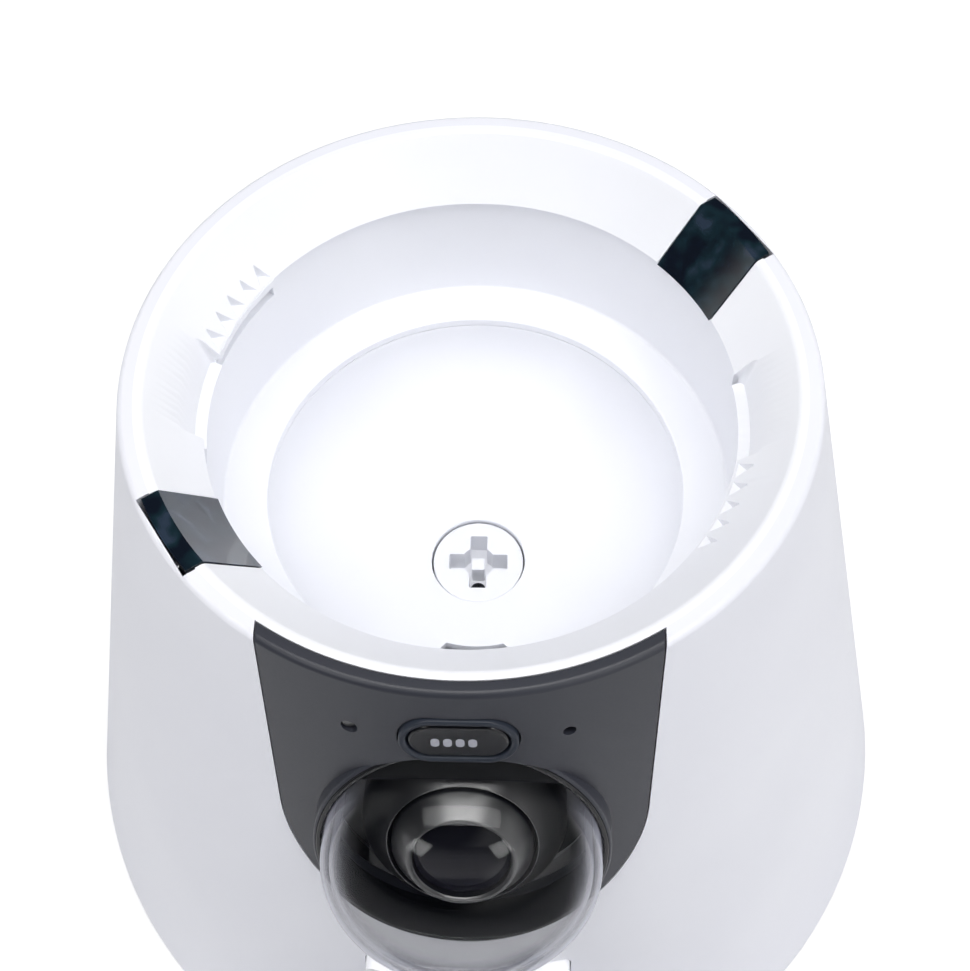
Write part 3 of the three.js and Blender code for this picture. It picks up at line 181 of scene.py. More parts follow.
def softened(bm, width, segments=2, angle=40, where=None):
    merge = 0.02
    bmesh.ops.remove_doubles(bm, verts=bm.verts, dist=merge)
    bmesh.ops.dissolve_degenerate(bm, edges=bm.edges[:], dist=merge)
    limit = math.radians(angle)
    sharp = [e for e in bm.edges if len(e.link_faces) == 2 and e.calc_face_angle(0) > limit]
    if where:
        sharp = [e for e in sharp if all(where(v.co) for v in e.verts)]
    bmesh.ops.bevel(bm, geom=sharp, offset=width, offset_type="OFFSET", affect="EDGES", segments=segments,
                    profile=0.5, material=-1, clamp_overlap=True)
    return bm


def finishPiece(name, bm, material, body, replaced, place=None, flatFaces=False):
    if place:
        moved(bm, place)
    moved(bm, toRow)
    for face in bm.faces:
        face.smooth = True
    piece = workObject(bm, name)
    piece.data.set_sharp_from_angle(angle=sharpAngle)
    piece.data.materials.append(material)
    if flatFaces:
        weighted = piece.modifiers.new("flatFaces", "WEIGHTED_NORMAL")
        weighted.keep_sharp = True
    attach(piece, body)
    if replaced:
        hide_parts(*replaced)


# Materials

def tone(red, green, blue):
    def linear(value):
        share = value / 255
        return share / 12.92 if share <= 0.04045 else ((share + 0.055) / 1.055) ** 2.4
    return (linear(red), linear(green), linear(blue), 1)


# Shader nodes: a value is linked when it is another node's output, and written into the socket when not

def feed(tree, socket, value):
    if isinstance(value, bpy.types.NodeSocket):
        tree.links.new(value, socket)
    elif value is not None:
        socket.default_value = value


def mathNode(tree, operation, *values):
    node = tree.nodes.new("ShaderNodeMath")
    node.operation = operation
    for socket, value in zip(node.inputs, values):
        feed(tree, socket, value)
    return node.outputs[0]


def mixNode(tree, kind, factor, first, second):
    node = tree.nodes.new("ShaderNodeMix")
    node.data_type = kind
    for label, value in (("Factor", factor), ("A", first), ("B", second)):
        feed(tree, node.inputs[label], value)
    return node.outputs["Result"]


def rangeNode(tree, value, start, end, low=0, high=1, smooth=False):
    node = tree.nodes.new("ShaderNodeMapRange")
    if smooth:
        node.interpolation_type = "SMOOTHSTEP"
    for label, number in (("From Min", start), ("From Max", end), ("To Min", low), ("To Max", high)):
        node.inputs[label].default_value = number
    tree.links.new(value, node.inputs["Value"])
    return node.outputs["Result"]


def vectorNode(tree, x=None, y=None, z=None):
    node = tree.nodes.new("ShaderNodeCombineXYZ")
    for socket, value in zip(node.inputs, (x, y, z)):
        feed(tree, socket, value)
    return node.outputs[0]


def noiseNode(tree, coords, scale, detail):
    node = tree.nodes.new("ShaderNodeTexNoise")
    tree.links.new(coords, node.inputs["Vector"])
    feed(tree, node.inputs["Scale"], scale)
    node.inputs["Detail"].default_value = detail
    return node.outputs["Fac"]


def objectCoords(tree):
    return tree.nodes.new("ShaderNodeTexCoord").outputs["Object"]


def facingNode(tree, blend):
    node = tree.nodes.new("ShaderNodeLayerWeight")
    node.inputs["Blend"].default_value = blend
    return node.outputs["Facing"]


def newGroup(name, inputs):
    group = bpy.data.node_groups.new(name, "ShaderNodeTree")
    for label, kind, value in inputs:
        socket = group.interface.new_socket(name=label, in_out="INPUT", socket_type=kind)
        socket.default_value = value
    results = (("Color", "NodeSocketColor"), ("Roughness", "NodeSocketFloat"), ("Height", "NodeSocketFloat"))
    for label, kind in results:
        group.interface.new_socket(name=label, in_out="OUTPUT", socket_type=kind)
    source = group.nodes.new("NodeGroupInput")
    result = group.nodes.new("NodeGroupOutput")
    return group, source.outputs, result.inputs


# Fine texture of a moulded surface, with a slow change of tone and gloss
def mouldedGroup():
    group, source, result = newGroup("mouldedSurface", [
        ("Color", "NodeSocketColor", (1, 1, 1, 1)), ("Shade", "NodeSocketColor", (0.8, 0.8, 0.8, 1)),
        ("Grain Scale", "NodeSocketFloat", 900), ("Roughness", "NodeSocketFloat", 0.4),
        ("Roughness Spread", "NodeSocketFloat", 0.06)])
    link = group.links.new
    coords = objectCoords(group)
    slow = noiseNode(group, coords, 14, 3)
    fine = noiseNode(group, coords, source["Grain Scale"], 2)
    amount = rangeNode(group, slow, 0.35, 0.75)
    link(mixNode(group, "RGBA", amount, source["Color"], source["Shade"]), result["Color"])
    centred = mathNode(group, "SUBTRACT", fine, 0.5)
    link(mathNode(group, "MULTIPLY_ADD", centred, source["Roughness Spread"], source["Roughness"]),
         result["Roughness"])
    link(fine, result["Height"])
    return group


# Fine turned lines round the upright axis, as on spun sheet metal and turned rings
def turnedGroup():
    group, source, result = newGroup("turnedLines", [
        ("Color", "NodeSocketColor", (0.7, 0.7, 0.7, 1)), ("Shade", "NodeSocketColor", (0.5, 0.5, 0.5, 1)),
        ("Lines", "NodeSocketFloat", 2500), ("Roughness", "NodeSocketFloat", 0.25),
        ("Centre Y", "NodeSocketFloat", 0.0)])
    link = group.links.new
    parts = group.nodes.new("ShaderNodeSeparateXYZ")
    link(objectCoords(group), parts.inputs[0])
    aside = mathNode(group, "SUBTRACT", parts.outputs["Y"], source["Centre Y"])
    reach = group.nodes.new("ShaderNodeVectorMath")
    reach.operation = "LENGTH"
    link(vectorNode(group, parts.outputs["X"], aside), reach.inputs[0])
    ring = vectorNode(group, reach.outputs["Value"], z=parts.outputs["Z"])
    lines = noiseNode(group, ring, source["Lines"], 4)
    link(mixNode(group, "RGBA", lines, source["Color"], source["Shade"]), result["Color"])
    link(mathNode(group, "MULTIPLY_ADD", lines, 0.16, source["Roughness"]), result["Roughness"])
    link(lines, result["Height"])
    return group


moulded = mouldedGroup()
turnedLines = turnedGroup()


def startMaterial(name):
    material = bpy.data.materials.new(name)
    material.use_nodes = True
    return material, material.node_tree, material.node_tree.nodes["Principled BSDF"]


def addBump(tree, shader, height, distance, strength):
    bump = tree.nodes.new("ShaderNodeBump")
    bump.inputs["Distance"].default_value = distance
    bump.inputs["Strength"].default_value = strength
    tree.links.new(height, bump.inputs["Height"])
    tree.links.new(bump.outputs["Normal"], shader.inputs["Normal"])


def surfaced(name, group, values, distance, strength):
    material, tree, shader = startMaterial(name)
    surface = tree.nodes.new("ShaderNodeGroup")
    surface.node_tree = group
    for label, value in values.items():
        surface.inputs[label].default_value = value
    tree.links.new(surface.outputs["Color"], shader.inputs["Base Color"])
    tree.links.new(surface.outputs["Roughness"], shader.inputs["Roughness"])
    addBump(tree, shader, surface.outputs["Height"], distance, strength)
    return material, shader


def plastic(name, color, shade, roughness, spread=0.06, grain=900, bump=0.15, specular=0.5, coat=0,
            coatRoughness=0.04, coatIor=1.5):
    values = {"Color": color, "Shade": shade, "Grain Scale": grain, "Roughness": roughness,
              "Roughness Spread": spread}
    material, shader = surfaced(name, moulded, values, 0.00002, bump)
    shader.inputs["Specular IOR Level"].default_value = specular
    shader.inputs["Coat Weight"].default_value = coat
    shader.inputs["Coat Roughness"].default_value = coatRoughness
    shader.inputs["Coat IOR"].default_value = coatIor
    return material


def metal(name, color, shade, roughness, lines, centreY=0.0):
    values = {"Color": color, "Shade": shade, "Lines": lines, "Roughness": roughness, "Centre Y": centreY}
    material, shader = surfaced(name, turnedLines, values, 0.00001, 0.12)
    shader.inputs["Metallic"].default_value = 1
    return material


# Clear dome: nearly invisible face on, with a painted reflection where it is seen edge on: a pale base colour at
# its rim
def domeMaterial():
    look = {"rim": tone(186, 188, 202), "face": tone(10, 12, 16), "faceAlpha": 0.1, "rimAlpha": 0.9,
            "rimStart": 0.42, "rimEnd": 0.9, "roughness": 0.03}
    material, tree, shader = startMaterial("clearDome")
    edge = rangeNode(tree, facingNode(tree, 0.5), look["rimStart"], look["rimEnd"], smooth=True)
    # The pale rim colour is painted reflection, mixed into the base colour where the shell is seen edge on
    tree.links.new(mixNode(tree, "RGBA", edge, look["face"], look["rim"]), shader.inputs["Base Color"])
    cover = rangeNode(tree, edge, 0, 1, look["faceAlpha"], look["rimAlpha"])
    # Light and mirrored rays pass the clear shell unhindered, so the painted rim reflection is seen only by the
    # camera and the head below stays dark
    path = tree.nodes.new("ShaderNodeLightPath")
    tree.links.new(mathNode(tree, "MULTIPLY", cover, path.outputs["Is Camera Ray"]), shader.inputs["Alpha"])
    shader.inputs["Roughness"].default_value = look["roughness"]
    shader.inputs["IOR"].default_value = 1.49
    shader.inputs["Specular IOR Level"].default_value = 1
    return material


# Smoked window: dark, with slow green and blue depth below a polished face
def smokedMaterial():
    look = {"deep": tone(10, 18, 30), "deepEnd": 0.38, "green": tone(18, 38, 46), "greenAt": 0.54,
            "grey": tone(42, 54, 70), "greyStart": 0.66, "scale": 190}
    material, tree, shader = startMaterial("smokedWindow")
    cloud = noiseNode(tree, objectCoords(tree), look["scale"], 1.5)
    ramp = tree.nodes.new("ShaderNodeValToRGB")
    stops = ramp.color_ramp.elements
    stops[0].position, stops[0].color = look["deepEnd"], look["deep"]
    stops[1].position, stops[1].color = look["greyStart"], look["grey"]
    stops.new(look["greenAt"]).color = look["green"]
    tree.links.new(cloud, ramp.inputs["Fac"])
    tree.links.new(ramp.outputs["Color"], shader.inputs["Base Color"])
    shader.inputs["Roughness"].default_value = 0.09
    shader.inputs["IOR"].default_value = 1.55
    shader.inputs["Coat Weight"].default_value = 1
    shader.inputs["Coat Roughness"].default_value = 0.03
    addBump(tree, shader, cloud, 0.0002, 0.12)
    return material


# Coated lens: black glass with a painted reflection, a violet coating sheen in its colour towards its edge
def lensMaterial():
    look = {"centre": tone(12, 13, 17), "paintedCoatSheen": tone(30, 28, 44), "roughness": 0.12}
    material, tree, shader = startMaterial("lensGlass")
    # The violet towards the edge is painted reflection of the coating, not the glass's own colour
    paintedCoatSheen = mixNode(tree, "RGBA", facingNode(tree, 0.4), look["centre"], look["paintedCoatSheen"])
    tree.links.new(paintedCoatSheen, shader.inputs["Base Color"])
    shader.inputs["Roughness"].default_value = look["roughness"]
    shader.inputs["Specular IOR Level"].default_value = 0.25
    return material


# Circuit board: green resist over a lattice of fine tracks
def boardMaterial():
    look = {"resist": tone(22, 70, 48), "track": tone(46, 108, 74), "pitch": 620,
            "trackStart": 0.5, "trackEnd": 0.6}
    material, tree, shader = startMaterial("circuitBoard")
    cells = tree.nodes.new("ShaderNodeTexVoronoi")
    cells.distance = "MANHATTAN"
    cells.feature = "F1"
    cells.inputs["Scale"].default_value = look["pitch"]
    tree.links.new(objectCoords(tree), cells.inputs["Vector"])
    track = rangeNode(tree, cells.outputs["Distance"], look["trackStart"], look["trackEnd"])
    tree.links.new(mixNode(tree, "RGBA", track, look["resist"], look["track"]), shader.inputs["Base Color"])
    shader.inputs["Roughness"].default_value = 0.35
    addBump(tree, shader, track, 0.00003, 0.4)
    return material


bowlLow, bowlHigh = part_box("steel_bowl")
bowlCentreY = (bowlLow.y + bowlHigh.y) / 2
trayY = (bowlCentreY - axisY) / mm

whiteShell = plastic("whiteShell", tone(236, 237, 244), tone(231, 232, 240), 0.42, grain=1400, bump=0.12)
whiteSeat = plastic("whiteSeat", tone(245, 246, 250), tone(241, 242, 248), 0.4, grain=1400, bump=0.08)
charcoalPanel = plastic("charcoalPanel", tone(45, 47, 56), tone(38, 40, 49), 0.42, spread=0.1, grain=1800,
                        bump=0.2)
slateRing = plastic("slateRing", tone(44, 49, 59), tone(38, 43, 53), 0.34, grain=1600, bump=0.06,
                    specular=0.25)
glossBlack = plastic("glossBlack", tone(12, 13, 18), tone(9, 10, 14), 0.16, spread=0.02, bump=0.02)
satinBlack = plastic("satinBlack", tone(14, 16, 22), tone(11, 12, 17), 0.3, spread=0.05, bump=0.06, coat=1,
                     coatRoughness=0.36, coatIor=1.9)
# Matt black that stands in for shadow, used for the sheet in the camera well
shadowBlack = plastic("shadowBlack", tone(11, 12, 16), tone(9, 10, 13), 0.6, specular=0.2, bump=0.06)
markGrey = plastic("markGrey", tone(176, 178, 188), tone(160, 162, 172), 0.5, bump=0.05)
innerPlastic = plastic("innerPlastic", tone(60, 62, 68), tone(50, 52, 58), 0.55, bump=0.25)
gearPlastic = plastic("gearPlastic", tone(232, 228, 214), tone(222, 217, 202), 0.48, bump=0.1)
rubber = plastic("rubber", tone(38, 39, 43), tone(30, 31, 35), 0.82, spread=0.1, grain=1200, bump=0.5)
darkSteel = metal("darkSteel", tone(78, 80, 86), tone(52, 54, 60), 0.3, lines=6000)
plainSteel = metal("plainSteel", tone(196, 198, 203), tone(170, 172, 178), 0.28, lines=4000)
bowlSteel = metal("bowlSteel", tone(205, 206, 210), tone(182, 184, 189), 0.2, lines=2600, centreY=bowlCentreY)
clearDome = domeMaterial()
smokedWindow = smokedMaterial()
lensGlass = lensMaterial()
circuitBoard = boardMaterial()
print("materials ready")

finishes = {
    "shell": whiteShell, "seat": whiteSeat, "panel": charcoalPanel, "ring": slateRing, "black": satinBlack,
    "gloss_black": glossBlack, "dome": clearDome, "lens": lensGlass, "smoke": smokedWindow,
    "dark_steel": darkSteel, "steel": plainSteel, "bowl_steel": bowlSteel, "gear": gearPlastic,
    "board": circuitBoard, "rubber": rubber, "inner": innerPlastic,
}
for part in frame["record"]["subparts"]:
    mesh = nodes[part["node"]].data
    mesh.materials.clear()
    mesh.materials.append(finishes[part["material_slot"]])


# Housing and panel

def panelPrism(clearance):
    panel = {"halfWidth": 39.4, "cameraZ": 134.2, "steps": 72}
    side = panel["halfWidth"] + clearance
    tall = block(-side, side, -cone["footRadius"], -overrun, panel["cameraZ"], cone["rimZ"] + overrun)
    foot = rod(side, overrun, cone["footRadius"], steps=2 * panel["steps"])
    moved(foot, Matrix.Translation((0, 0, panel["cameraZ"])) @ Matrix.Rotation(math.radians(90), 4, "X"))
    return combined(tall, foot, "UNION")


def coneSolid(extra):
    low, high = -overrun, cone["rimZ"]
    return spun([(0, low), (coneRadius(low) + extra, low), (coneRadius(high) + extra, high), (0, high)],
                closed=False)


stations = {
    "angles": (-115.2, 64.8), "notches": 5, "pitch": 4.7, "notchWidth": 4.4, "notchRadius": 62.9,
    "bandRadius": 58.9, "bandZ": 171.5, "notchFloorZ": 172.2, "entryFrom": 12.2, "entryTo": 34.5,
    "entryRadius": 61.5, "entryTopZ": 190, "entryLean": 5, "entryRound": 1.2, "entryFloorZ": 168.2,
    "entryFall": 3.5, "slotSide": 11.5, "cutTopZ": 186,
    "slot": [(61.7, 169.6), (30, 169.6), (30, 164.8), (61.7, 164.8)],
    "backing": [(66.2, 164), (66.2, 176.4), (62.9, 176.1), (61.4, 174.1), (61.4, 164)],
    "rail": [(62, 169.4), (62, 171.5), (58.9, 171.5), (58.9, 169.4)],
    "shelf": [(62, 160), (62, 171.5), (58.9, 171.5), (58.9, 168), (60.4, 160)],
}
windows = {
    "angles": {"left": -55.5, "right": 124.5}, "halfWidth": 10.2, "rimRadius": 73.6, "gap": 0.3, "proud": 0.2,
    "edge": 0.35, "mouthRadius": 69.7, "bandOuter": 60.9, "bandInner": 58.7, "shoulderRadius": 70.9,
    "shoulderZ": 183, "sweep": 28,
}
outlet = {"floorZ": 42, "roofZ": 80, "halfWidth": 22.5, "wall": 1.8, "lip": 3, "corner": 2}


def windowSlab(angle, extra):
    half = windows["halfWidth"] + extra
    slab = block(-half, half, -windows["rimRadius"] - extra, -30, stations["bandZ"] - 0.3,
                 cone["rimZ"] + overrun)
    return turned(slab, angle)


def outletPrism(clearance):
    middle = (outlet["floorZ"] + outlet["roofZ"]) / 2
    height = outlet["roofZ"] - outlet["floorZ"] + 2 * (outlet["wall"] + clearance)
    width = 2 * (outlet["halfWidth"] + outlet["wall"] + clearance)
    hole = rounded(width, height, outlet["corner"] + clearance, 91, 118.5)
    return moved(hole, Matrix.Translation((0, 0, middle)) @ Matrix.Rotation(math.radians(90), 4, "X"))


# The opening behind the feed button, cut to a depth below the wall's face
def controlsPocket(depth):
    pocket = rounded(controls["width"], controls["height"], controls["corner"], -depth, 4)
    return moved(pocket, controlsPlace)


def makeHousing():
    shell = {"wall": 2.5, "lipRadius": 71.75, "rimRound": 1.26, "footRound": 1.9, "shelfRadius": 69.5,
             "edge": 0.25}
    rim, foot = cone["rimZ"], cone["footZ"]
    bm = spun([
        (coneRadius(foot), foot, shell["footRound"]), (coneRadius(rim), rim, shell["rimRound"]),
        (shell["lipRadius"], rim), (shell["lipRadius"], 182.4), (shell["shelfRadius"], 179.6),
        (shell["shelfRadius"], 178.2), (coneRadius(174) - shell["wall"], 174),
        (coneRadius(foot) - shell["wall"] - 1, foot, 0.5),
    ], steps=240)
    bm = combined(bm, panelPrism(0.3))
    bm = combined(bm, outletPrism(0.3))
    for angle in windows["angles"].values():
        bm = combined(bm, windowSlab(angle, 0.3))
    # Holes for the power inlet at the back and for the tray's tongue at the front
    inletHole = block(-5.5, 5.5, 80, 118.5, 16.5, 27.5)
    tongueHole = block(-15.3, 15.3, -120, -80, 7.7, 12.3)
    bm = combined(combined(bm, inletHole), tongueHole)
    lip = shell["lipRadius"]
    softened(bm, shell["edge"], where=lambda co: co.z < rim - 0.1 or abs(math.hypot(co.x, co.y) - lip) > 0.1)
    finishPiece("housingShell", bm, whiteShell, "housing", ["outer_housing"], flatFaces=True)


def makePanel():
    skin = {"wall": 2.2, "lipRadius": 71.9, "edge": 0.3, "wellRadius": 32.6, "boreRadius": 30.9, "wellDepth": 12,
            "collarRadius": 31.5, "collarProud": 1.6, "collarDepth": 5, "footZ": 60, "lipZ": 182.4,
            "shoulderZ": 181.4, "pocket": 6.8}
    rim, wall, foot, shoulder = cone["rimZ"], skin["wall"], skin["footZ"], skin["shoulderZ"]
    bm = spun([
        (coneRadius(foot), foot), (coneRadius(rim), rim, 1.26), (skin["lipRadius"], rim, 0.3),
        (skin["lipRadius"], skin["lipZ"]), (coneRadius(shoulder) - wall, shoulder),
        (coneRadius(foot) - wall, foot),
    ], steps=240)
    bm = combined(bm, panelPrism(0), "INTERSECT")
    well = moved(rod(skin["wellRadius"], -skin["wellDepth"], overrun, steps=96), domePlace)
    well = combined(well, coneSolid(-wall / 2), "INTERSECT")
    bm = combined(bm, well, "UNION")
    radius, low, high = skin["collarRadius"], -skin["collarDepth"], skin["collarProud"]
    collar = spun([(0, low), (radius, low), (radius, high, 0.8), (0, high)], closed=False, steps=128)
    bm = combined(bm, moved(collar, domePlace), "UNION")
    bm = combined(bm, moved(rod(skin["boreRadius"], -18, 14, steps=128), domePlace))
    bm = combined(bm, controlsPocket(skin["pocket"]))
    for x, radius in controls["holes"].items():
        hole = moved(rod(radius, -8, 4, steps=32), controlsPlace @ Matrix.Translation((x, 0, 0)))
        bm = combined(bm, hole)
    softened(bm, skin["edge"])
    finishPiece("panelSkin", bm, charcoalPanel, "housing", ["front_panel"], flatFaces=True)


makeHousing()
makePanel()
print("housing and panel ready")


# Hopper seat and its windows

def arcPiece(section, fromAngle, toAngle, steps=24):
    return spun(section, steps=steps, sweep=toAngle - fromAngle, start=fromAngle)


def notchCutter(angle):
    inner = stations["bandRadius"] - overrun
    spread = stations["notchWidth"] / 2 * (stations["notchRadius"] - inner)
    spread /= stations["notchRadius"] - stations["bandRadius"]
    tip = (0, -stations["notchRadius"], 0.5)
    wedge = prism([tip, (spread, -inner), (-spread, -inner)], stations["notchFloorZ"],
                  stations["cutTopZ"])
    return turned(wedge, angle)


# The lock ring's way in: its back wall leans outwards, its floor falls inwards and its far corners are round
def entryCutter(angle):
    radius, low, high = stations["entryRadius"], stations["entryFloorZ"], stations["entryTopZ"]
    inner = (50, low - stations["entryFall"])
    bm = spun([(radius, low), (radius + stations["entryLean"], high), (50, high), inner], steps=24,
              sweep=stations["entryTo"] - stations["entryFrom"], start=angle + stations["entryFrom"])
    corners = [e for e in bm.edges if abs(e.verts[0].co.z - e.verts[1].co.z) > 5 and e.calc_face_angle(0) > 1
               and math.hypot(*e.verts[0].co.xy) > 55]
    bmesh.ops.bevel(bm, geom=corners, offset=stations["entryRound"], offset_type="OFFSET", affect="EDGES",
                    segments=6, profile=0.5, material=-1)
    return bm


def makeSeat():
    seat = {"flangeRadius": 71.75, "mouthRadius": 69.9, "bandRadius": 58.9, "wallRadius": 60.2, "wall": 2.2,
            "ledgeZ": 138.7, "ledgeRadius": 49.5, "edge": 0.25}
    rim, band, ledge, wall = cone["rimZ"], stations["bandZ"], seat["ledgeZ"], seat["wall"]
    bm = spun([
        (seat["flangeRadius"], rim), (seat["mouthRadius"], rim, 0.7), (seat["bandRadius"], band, 0.35),
        (seat["wallRadius"], band, 0.2), (seat["wallRadius"], ledge, 0.8), (seat["ledgeRadius"], ledge, 0.35),
        (seat["ledgeRadius"], ledge - wall), (seat["wallRadius"] + wall, ledge - wall),
        (seat["wallRadius"] + wall, band), (seat["flangeRadius"], rim - wall),
    ], steps=240)
    for angle in stations["angles"]:
        first, turn, last = angle - stations["slotSide"], angle + stations["entryFrom"], angle + stations["entryTo"]
        bm = combined(bm, arcPiece(stations["backing"], first - 2, last + 2), "UNION")
        bm = combined(bm, arcPiece(stations["rail"], first, turn), "UNION")
        bm = combined(bm, arcPiece(stations["shelf"], turn, last), "UNION")
    for angle in stations["angles"]:
        for i in range(stations["notches"]):
            bm = combined(bm, notchCutter(angle + (i - 2) * stations["pitch"]))
        bm = combined(bm, entryCutter(angle))
        bm = combined(bm, arcPiece(stations["slot"], angle - stations["slotSide"], angle + stations["entryFrom"]))
    for angle in windows["angles"].values():
        bm = combined(bm, windowSlab(angle, 0))
    softened(bm, seat["edge"], where=lambda co: math.hypot(co.x, co.y) < 71.6)
    finishPiece("seatRing", bm, whiteSeat, "housing", ["hopper_seat"], flatFaces=True)


def makeWindow(side, angle):
    half = windows["halfWidth"] - windows["gap"]
    top = cone["rimZ"] + windows["proud"]
    band, shoulder, sweep = stations["bandZ"], windows["shoulderZ"], windows["sweep"]
    bm = spun([
        (windows["rimRadius"], top), (windows["mouthRadius"], top), (windows["bandInner"], band),
        (windows["bandOuter"], band), (windows["shoulderRadius"], shoulder), (windows["rimRadius"], shoulder),
    ], steps=24, sweep=sweep, start=-sweep / 2)
    for x in (-half, half):
        cut = bmesh.ops.bisect_plane(bm, geom=bm.verts[:] + bm.edges[:] + bm.faces[:], plane_co=(x, 0, 0),
                                     plane_no=(x, 0, 0), clear_outer=True)
        edges = [e for e in cut["geom_cut"] if isinstance(e, bmesh.types.BMEdge)]
        bmesh.ops.holes_fill(bm, edges=edges, sides=0)
    cleaned(bm)
    softened(bm, windows["edge"], segments=3, angle=25)
    turned(bm, angle)
    finishPiece("window_" + side, bm, smokedWindow, "housing", ["ir_window_" + side], flatFaces=True)


makeSeat()
for side, angle in windows["angles"].items():
    makeWindow(side, angle)
print("hopper seat ready")


# Metering bowl and drive hub

def makeBowl():
    bowl = {"topZ": 136.2, "depth": 35, "lipRadius": 49.5, "hubBore": 12.1, "wall": 2.2, "steps": 36,
            "collarZ": 97.2, "flangeRadius": 58, "dropAngle": 17.5, "dropInner": 26, "dropOuter": 45.5}

    def arc(extra):
        turns = [math.pi / 2 * i / bowl["steps"] for i in range(bowl["steps"] + 1)]
        reach = bowl["lipRadius"] - bowl["hubBore"] + extra
        return [(bowl["hubBore"] + reach * math.cos(t), bowl["topZ"] - (bowl["depth"] + extra) * math.sin(t))
                for t in turns]

    wall, top = bowl["wall"], bowl["topZ"]
    bm = spun(arc(0)[:-1] + [
        (bowl["hubBore"], top - bowl["depth"], 0.3), (bowl["hubBore"], bowl["collarZ"]),
        (bowl["hubBore"] + wall, bowl["collarZ"]), (bowl["hubBore"] + wall, top - bowl["depth"] - wall),
    ] + arc(wall)[1:-1][::-1] + [
        (bowl["lipRadius"] + wall, top - wall), (bowl["flangeRadius"], top - wall), (bowl["flangeRadius"], top),
    ])
    outer, inner = bowl["dropOuter"], bowl["dropInner"]
    drop = arcPiece([(outer, 90), (outer, 134), (inner, 134), (inner, 90)], -bowl["dropAngle"],
                    bowl["dropAngle"], steps=16)
    upright = [e for e in drop.edges if abs(e.verts[0].co.z - e.verts[1].co.z) > 1 and e.calc_face_angle(0) > 1]
    bmesh.ops.bevel(drop, geom=upright, offset=4, offset_type="OFFSET", affect="EDGES", segments=8, profile=0.5,
                    material=-1)
    bm = combined(bm, drop)
    softened(bm, 0.3)
    finishPiece("bowlShell", bm, whiteSeat, "housing", ["metering_bowl"])


def makeHub():
    hub = {"radius": 11.7, "topZ": 100.2, "lowZ": 89.7, "armLength": 15.2, "armWidth": 4.4, "armCorner": 0.35,
           "round": 4.3, "depth": 7.5, "post": 3.4, "postRecess": 1.2, "edge": 0.22, "shaftRadius": 3.3,
           "shaftTopZ": 91.7}
    top, low, arm, width = hub["topZ"], hub["lowZ"], hub["armLength"], hub["armWidth"]
    floor = top - hub["depth"]
    bm = spun([(0, low), (hub["radius"], low, 1), (hub["radius"], top, 0.4), (0, top)], closed=False, steps=128)
    socket = rounded(arm, width, hub["armCorner"], floor, top + overrun, 4)
    socket = combined(socket, rounded(width, arm, hub["armCorner"], floor, top + overrun, 4), "UNION")
    socket = combined(socket, rod(hub["round"], floor, top + overrun), "UNION")
    post = rounded(hub["post"], hub["post"], 0.4, floor - overrun, top - hub["postRecess"], 4)
    bm = combined(bm, combined(socket, post))
    bm = combined(bm, rod(hub["shaftRadius"], low - overrun, hub["shaftTopZ"], steps=32))
    softened(bm, hub["edge"])
    finishPiece("hubDisc", bm, whiteSeat, "drive", ["drive_hub"], flatFaces=True)


def makeHubScrew():
    head = {"radius": 2, "lowZ": 93, "height": 2.2, "y": -5.3, "recess": 0.9}
    bm = spun([(0, 0), (head["radius"], 0, 0.2), (head["radius"], head["height"], 0.7),
               (0, head["height"] + 0.15)], closed=False, steps=48)
    for width, length in ((0.65, 2.4), (2.4, 0.65)):
        bm = combined(bm, rounded(width, length, 0.2, head["height"] - head["recess"], head["height"] + 1, 3))
    moved(bm, Matrix.Translation((0, head["y"], head["lowZ"])))
    finishPiece("hubScrewHead", bm, darkSteel, "drive", ["hub_screw"], flatFaces=True)


makeBowl()
makeHub()
makeHubScrew()
print("metering bowl and hub ready")


# Buttons

def makeButtons():
    ring = {"width": 23.6, "height": 13.4, "corner": 7, "band": 1.5, "back": 3.2, "proud": 0.5, "steps": 24}
    button = {"proud": 0.3, "gap": 0.3, "flange": 1, "stem": 2.2, "stemEnd": 5.3}
    width, height, corner, steps = ring["width"], ring["height"], ring["corner"], ring["steps"]
    bm = rounded(width, height, corner, -ring["back"], ring["proud"], steps)
    bm = combined(bm, rounded(width - 2 * ring["band"], height - 2 * ring["band"], corner, -6, 4, steps))
    softened(bm, 0.5, segments=4)
    finishPiece("feedRing", bm, slateRing, "housing", ["button_ring"], place=controlsPlace)

    trim = 2 * (ring["band"] + button["gap"])
    flangeTop = -ring["back"] - button["gap"]
    bm = rounded(width - trim, height - trim, corner, flangeTop, button["proud"], steps)
    softened(bm, 0.7, segments=4, where=lambda co: co.z > 0)
    trim = 2 * (ring["band"] - button["flange"])
    flange = rounded(width - trim, height - trim, corner, flangeTop - button["flange"], flangeTop + 0.01)
    bm = combined(bm, flange, "UNION")
    bm = combined(bm, rod(button["stem"], -button["stemEnd"], flangeTop - 0.5, steps=32), "UNION")
    finishPiece("feedCap", bm, glossBlack, "feed_button", ["feed_button"], place=controlsPlace,
                flatFaces=True)

    # A plain row of pellets marks the button
    mark = {"count": 4, "pitch": 2.45, "width": 1.7, "height": 2.5, "x": -0.9, "y": -0.2, "thick": 0.06}
    for i in range(mark["count"]):
        pellet = rounded(mark["width"], mark["height"], 0.8, 0, mark["thick"], 6)
        x = mark["x"] + (i - (mark["count"] - 1) / 2) * mark["pitch"]
        moved(pellet, Matrix.Translation((x, mark["y"], button["proud"])))
        finishPiece("pellet_%d" % (i + 1), pellet, markGrey, "feed_button", [], place=controlsPlace)


makeButtons()
print("buttons ready")


# Camera

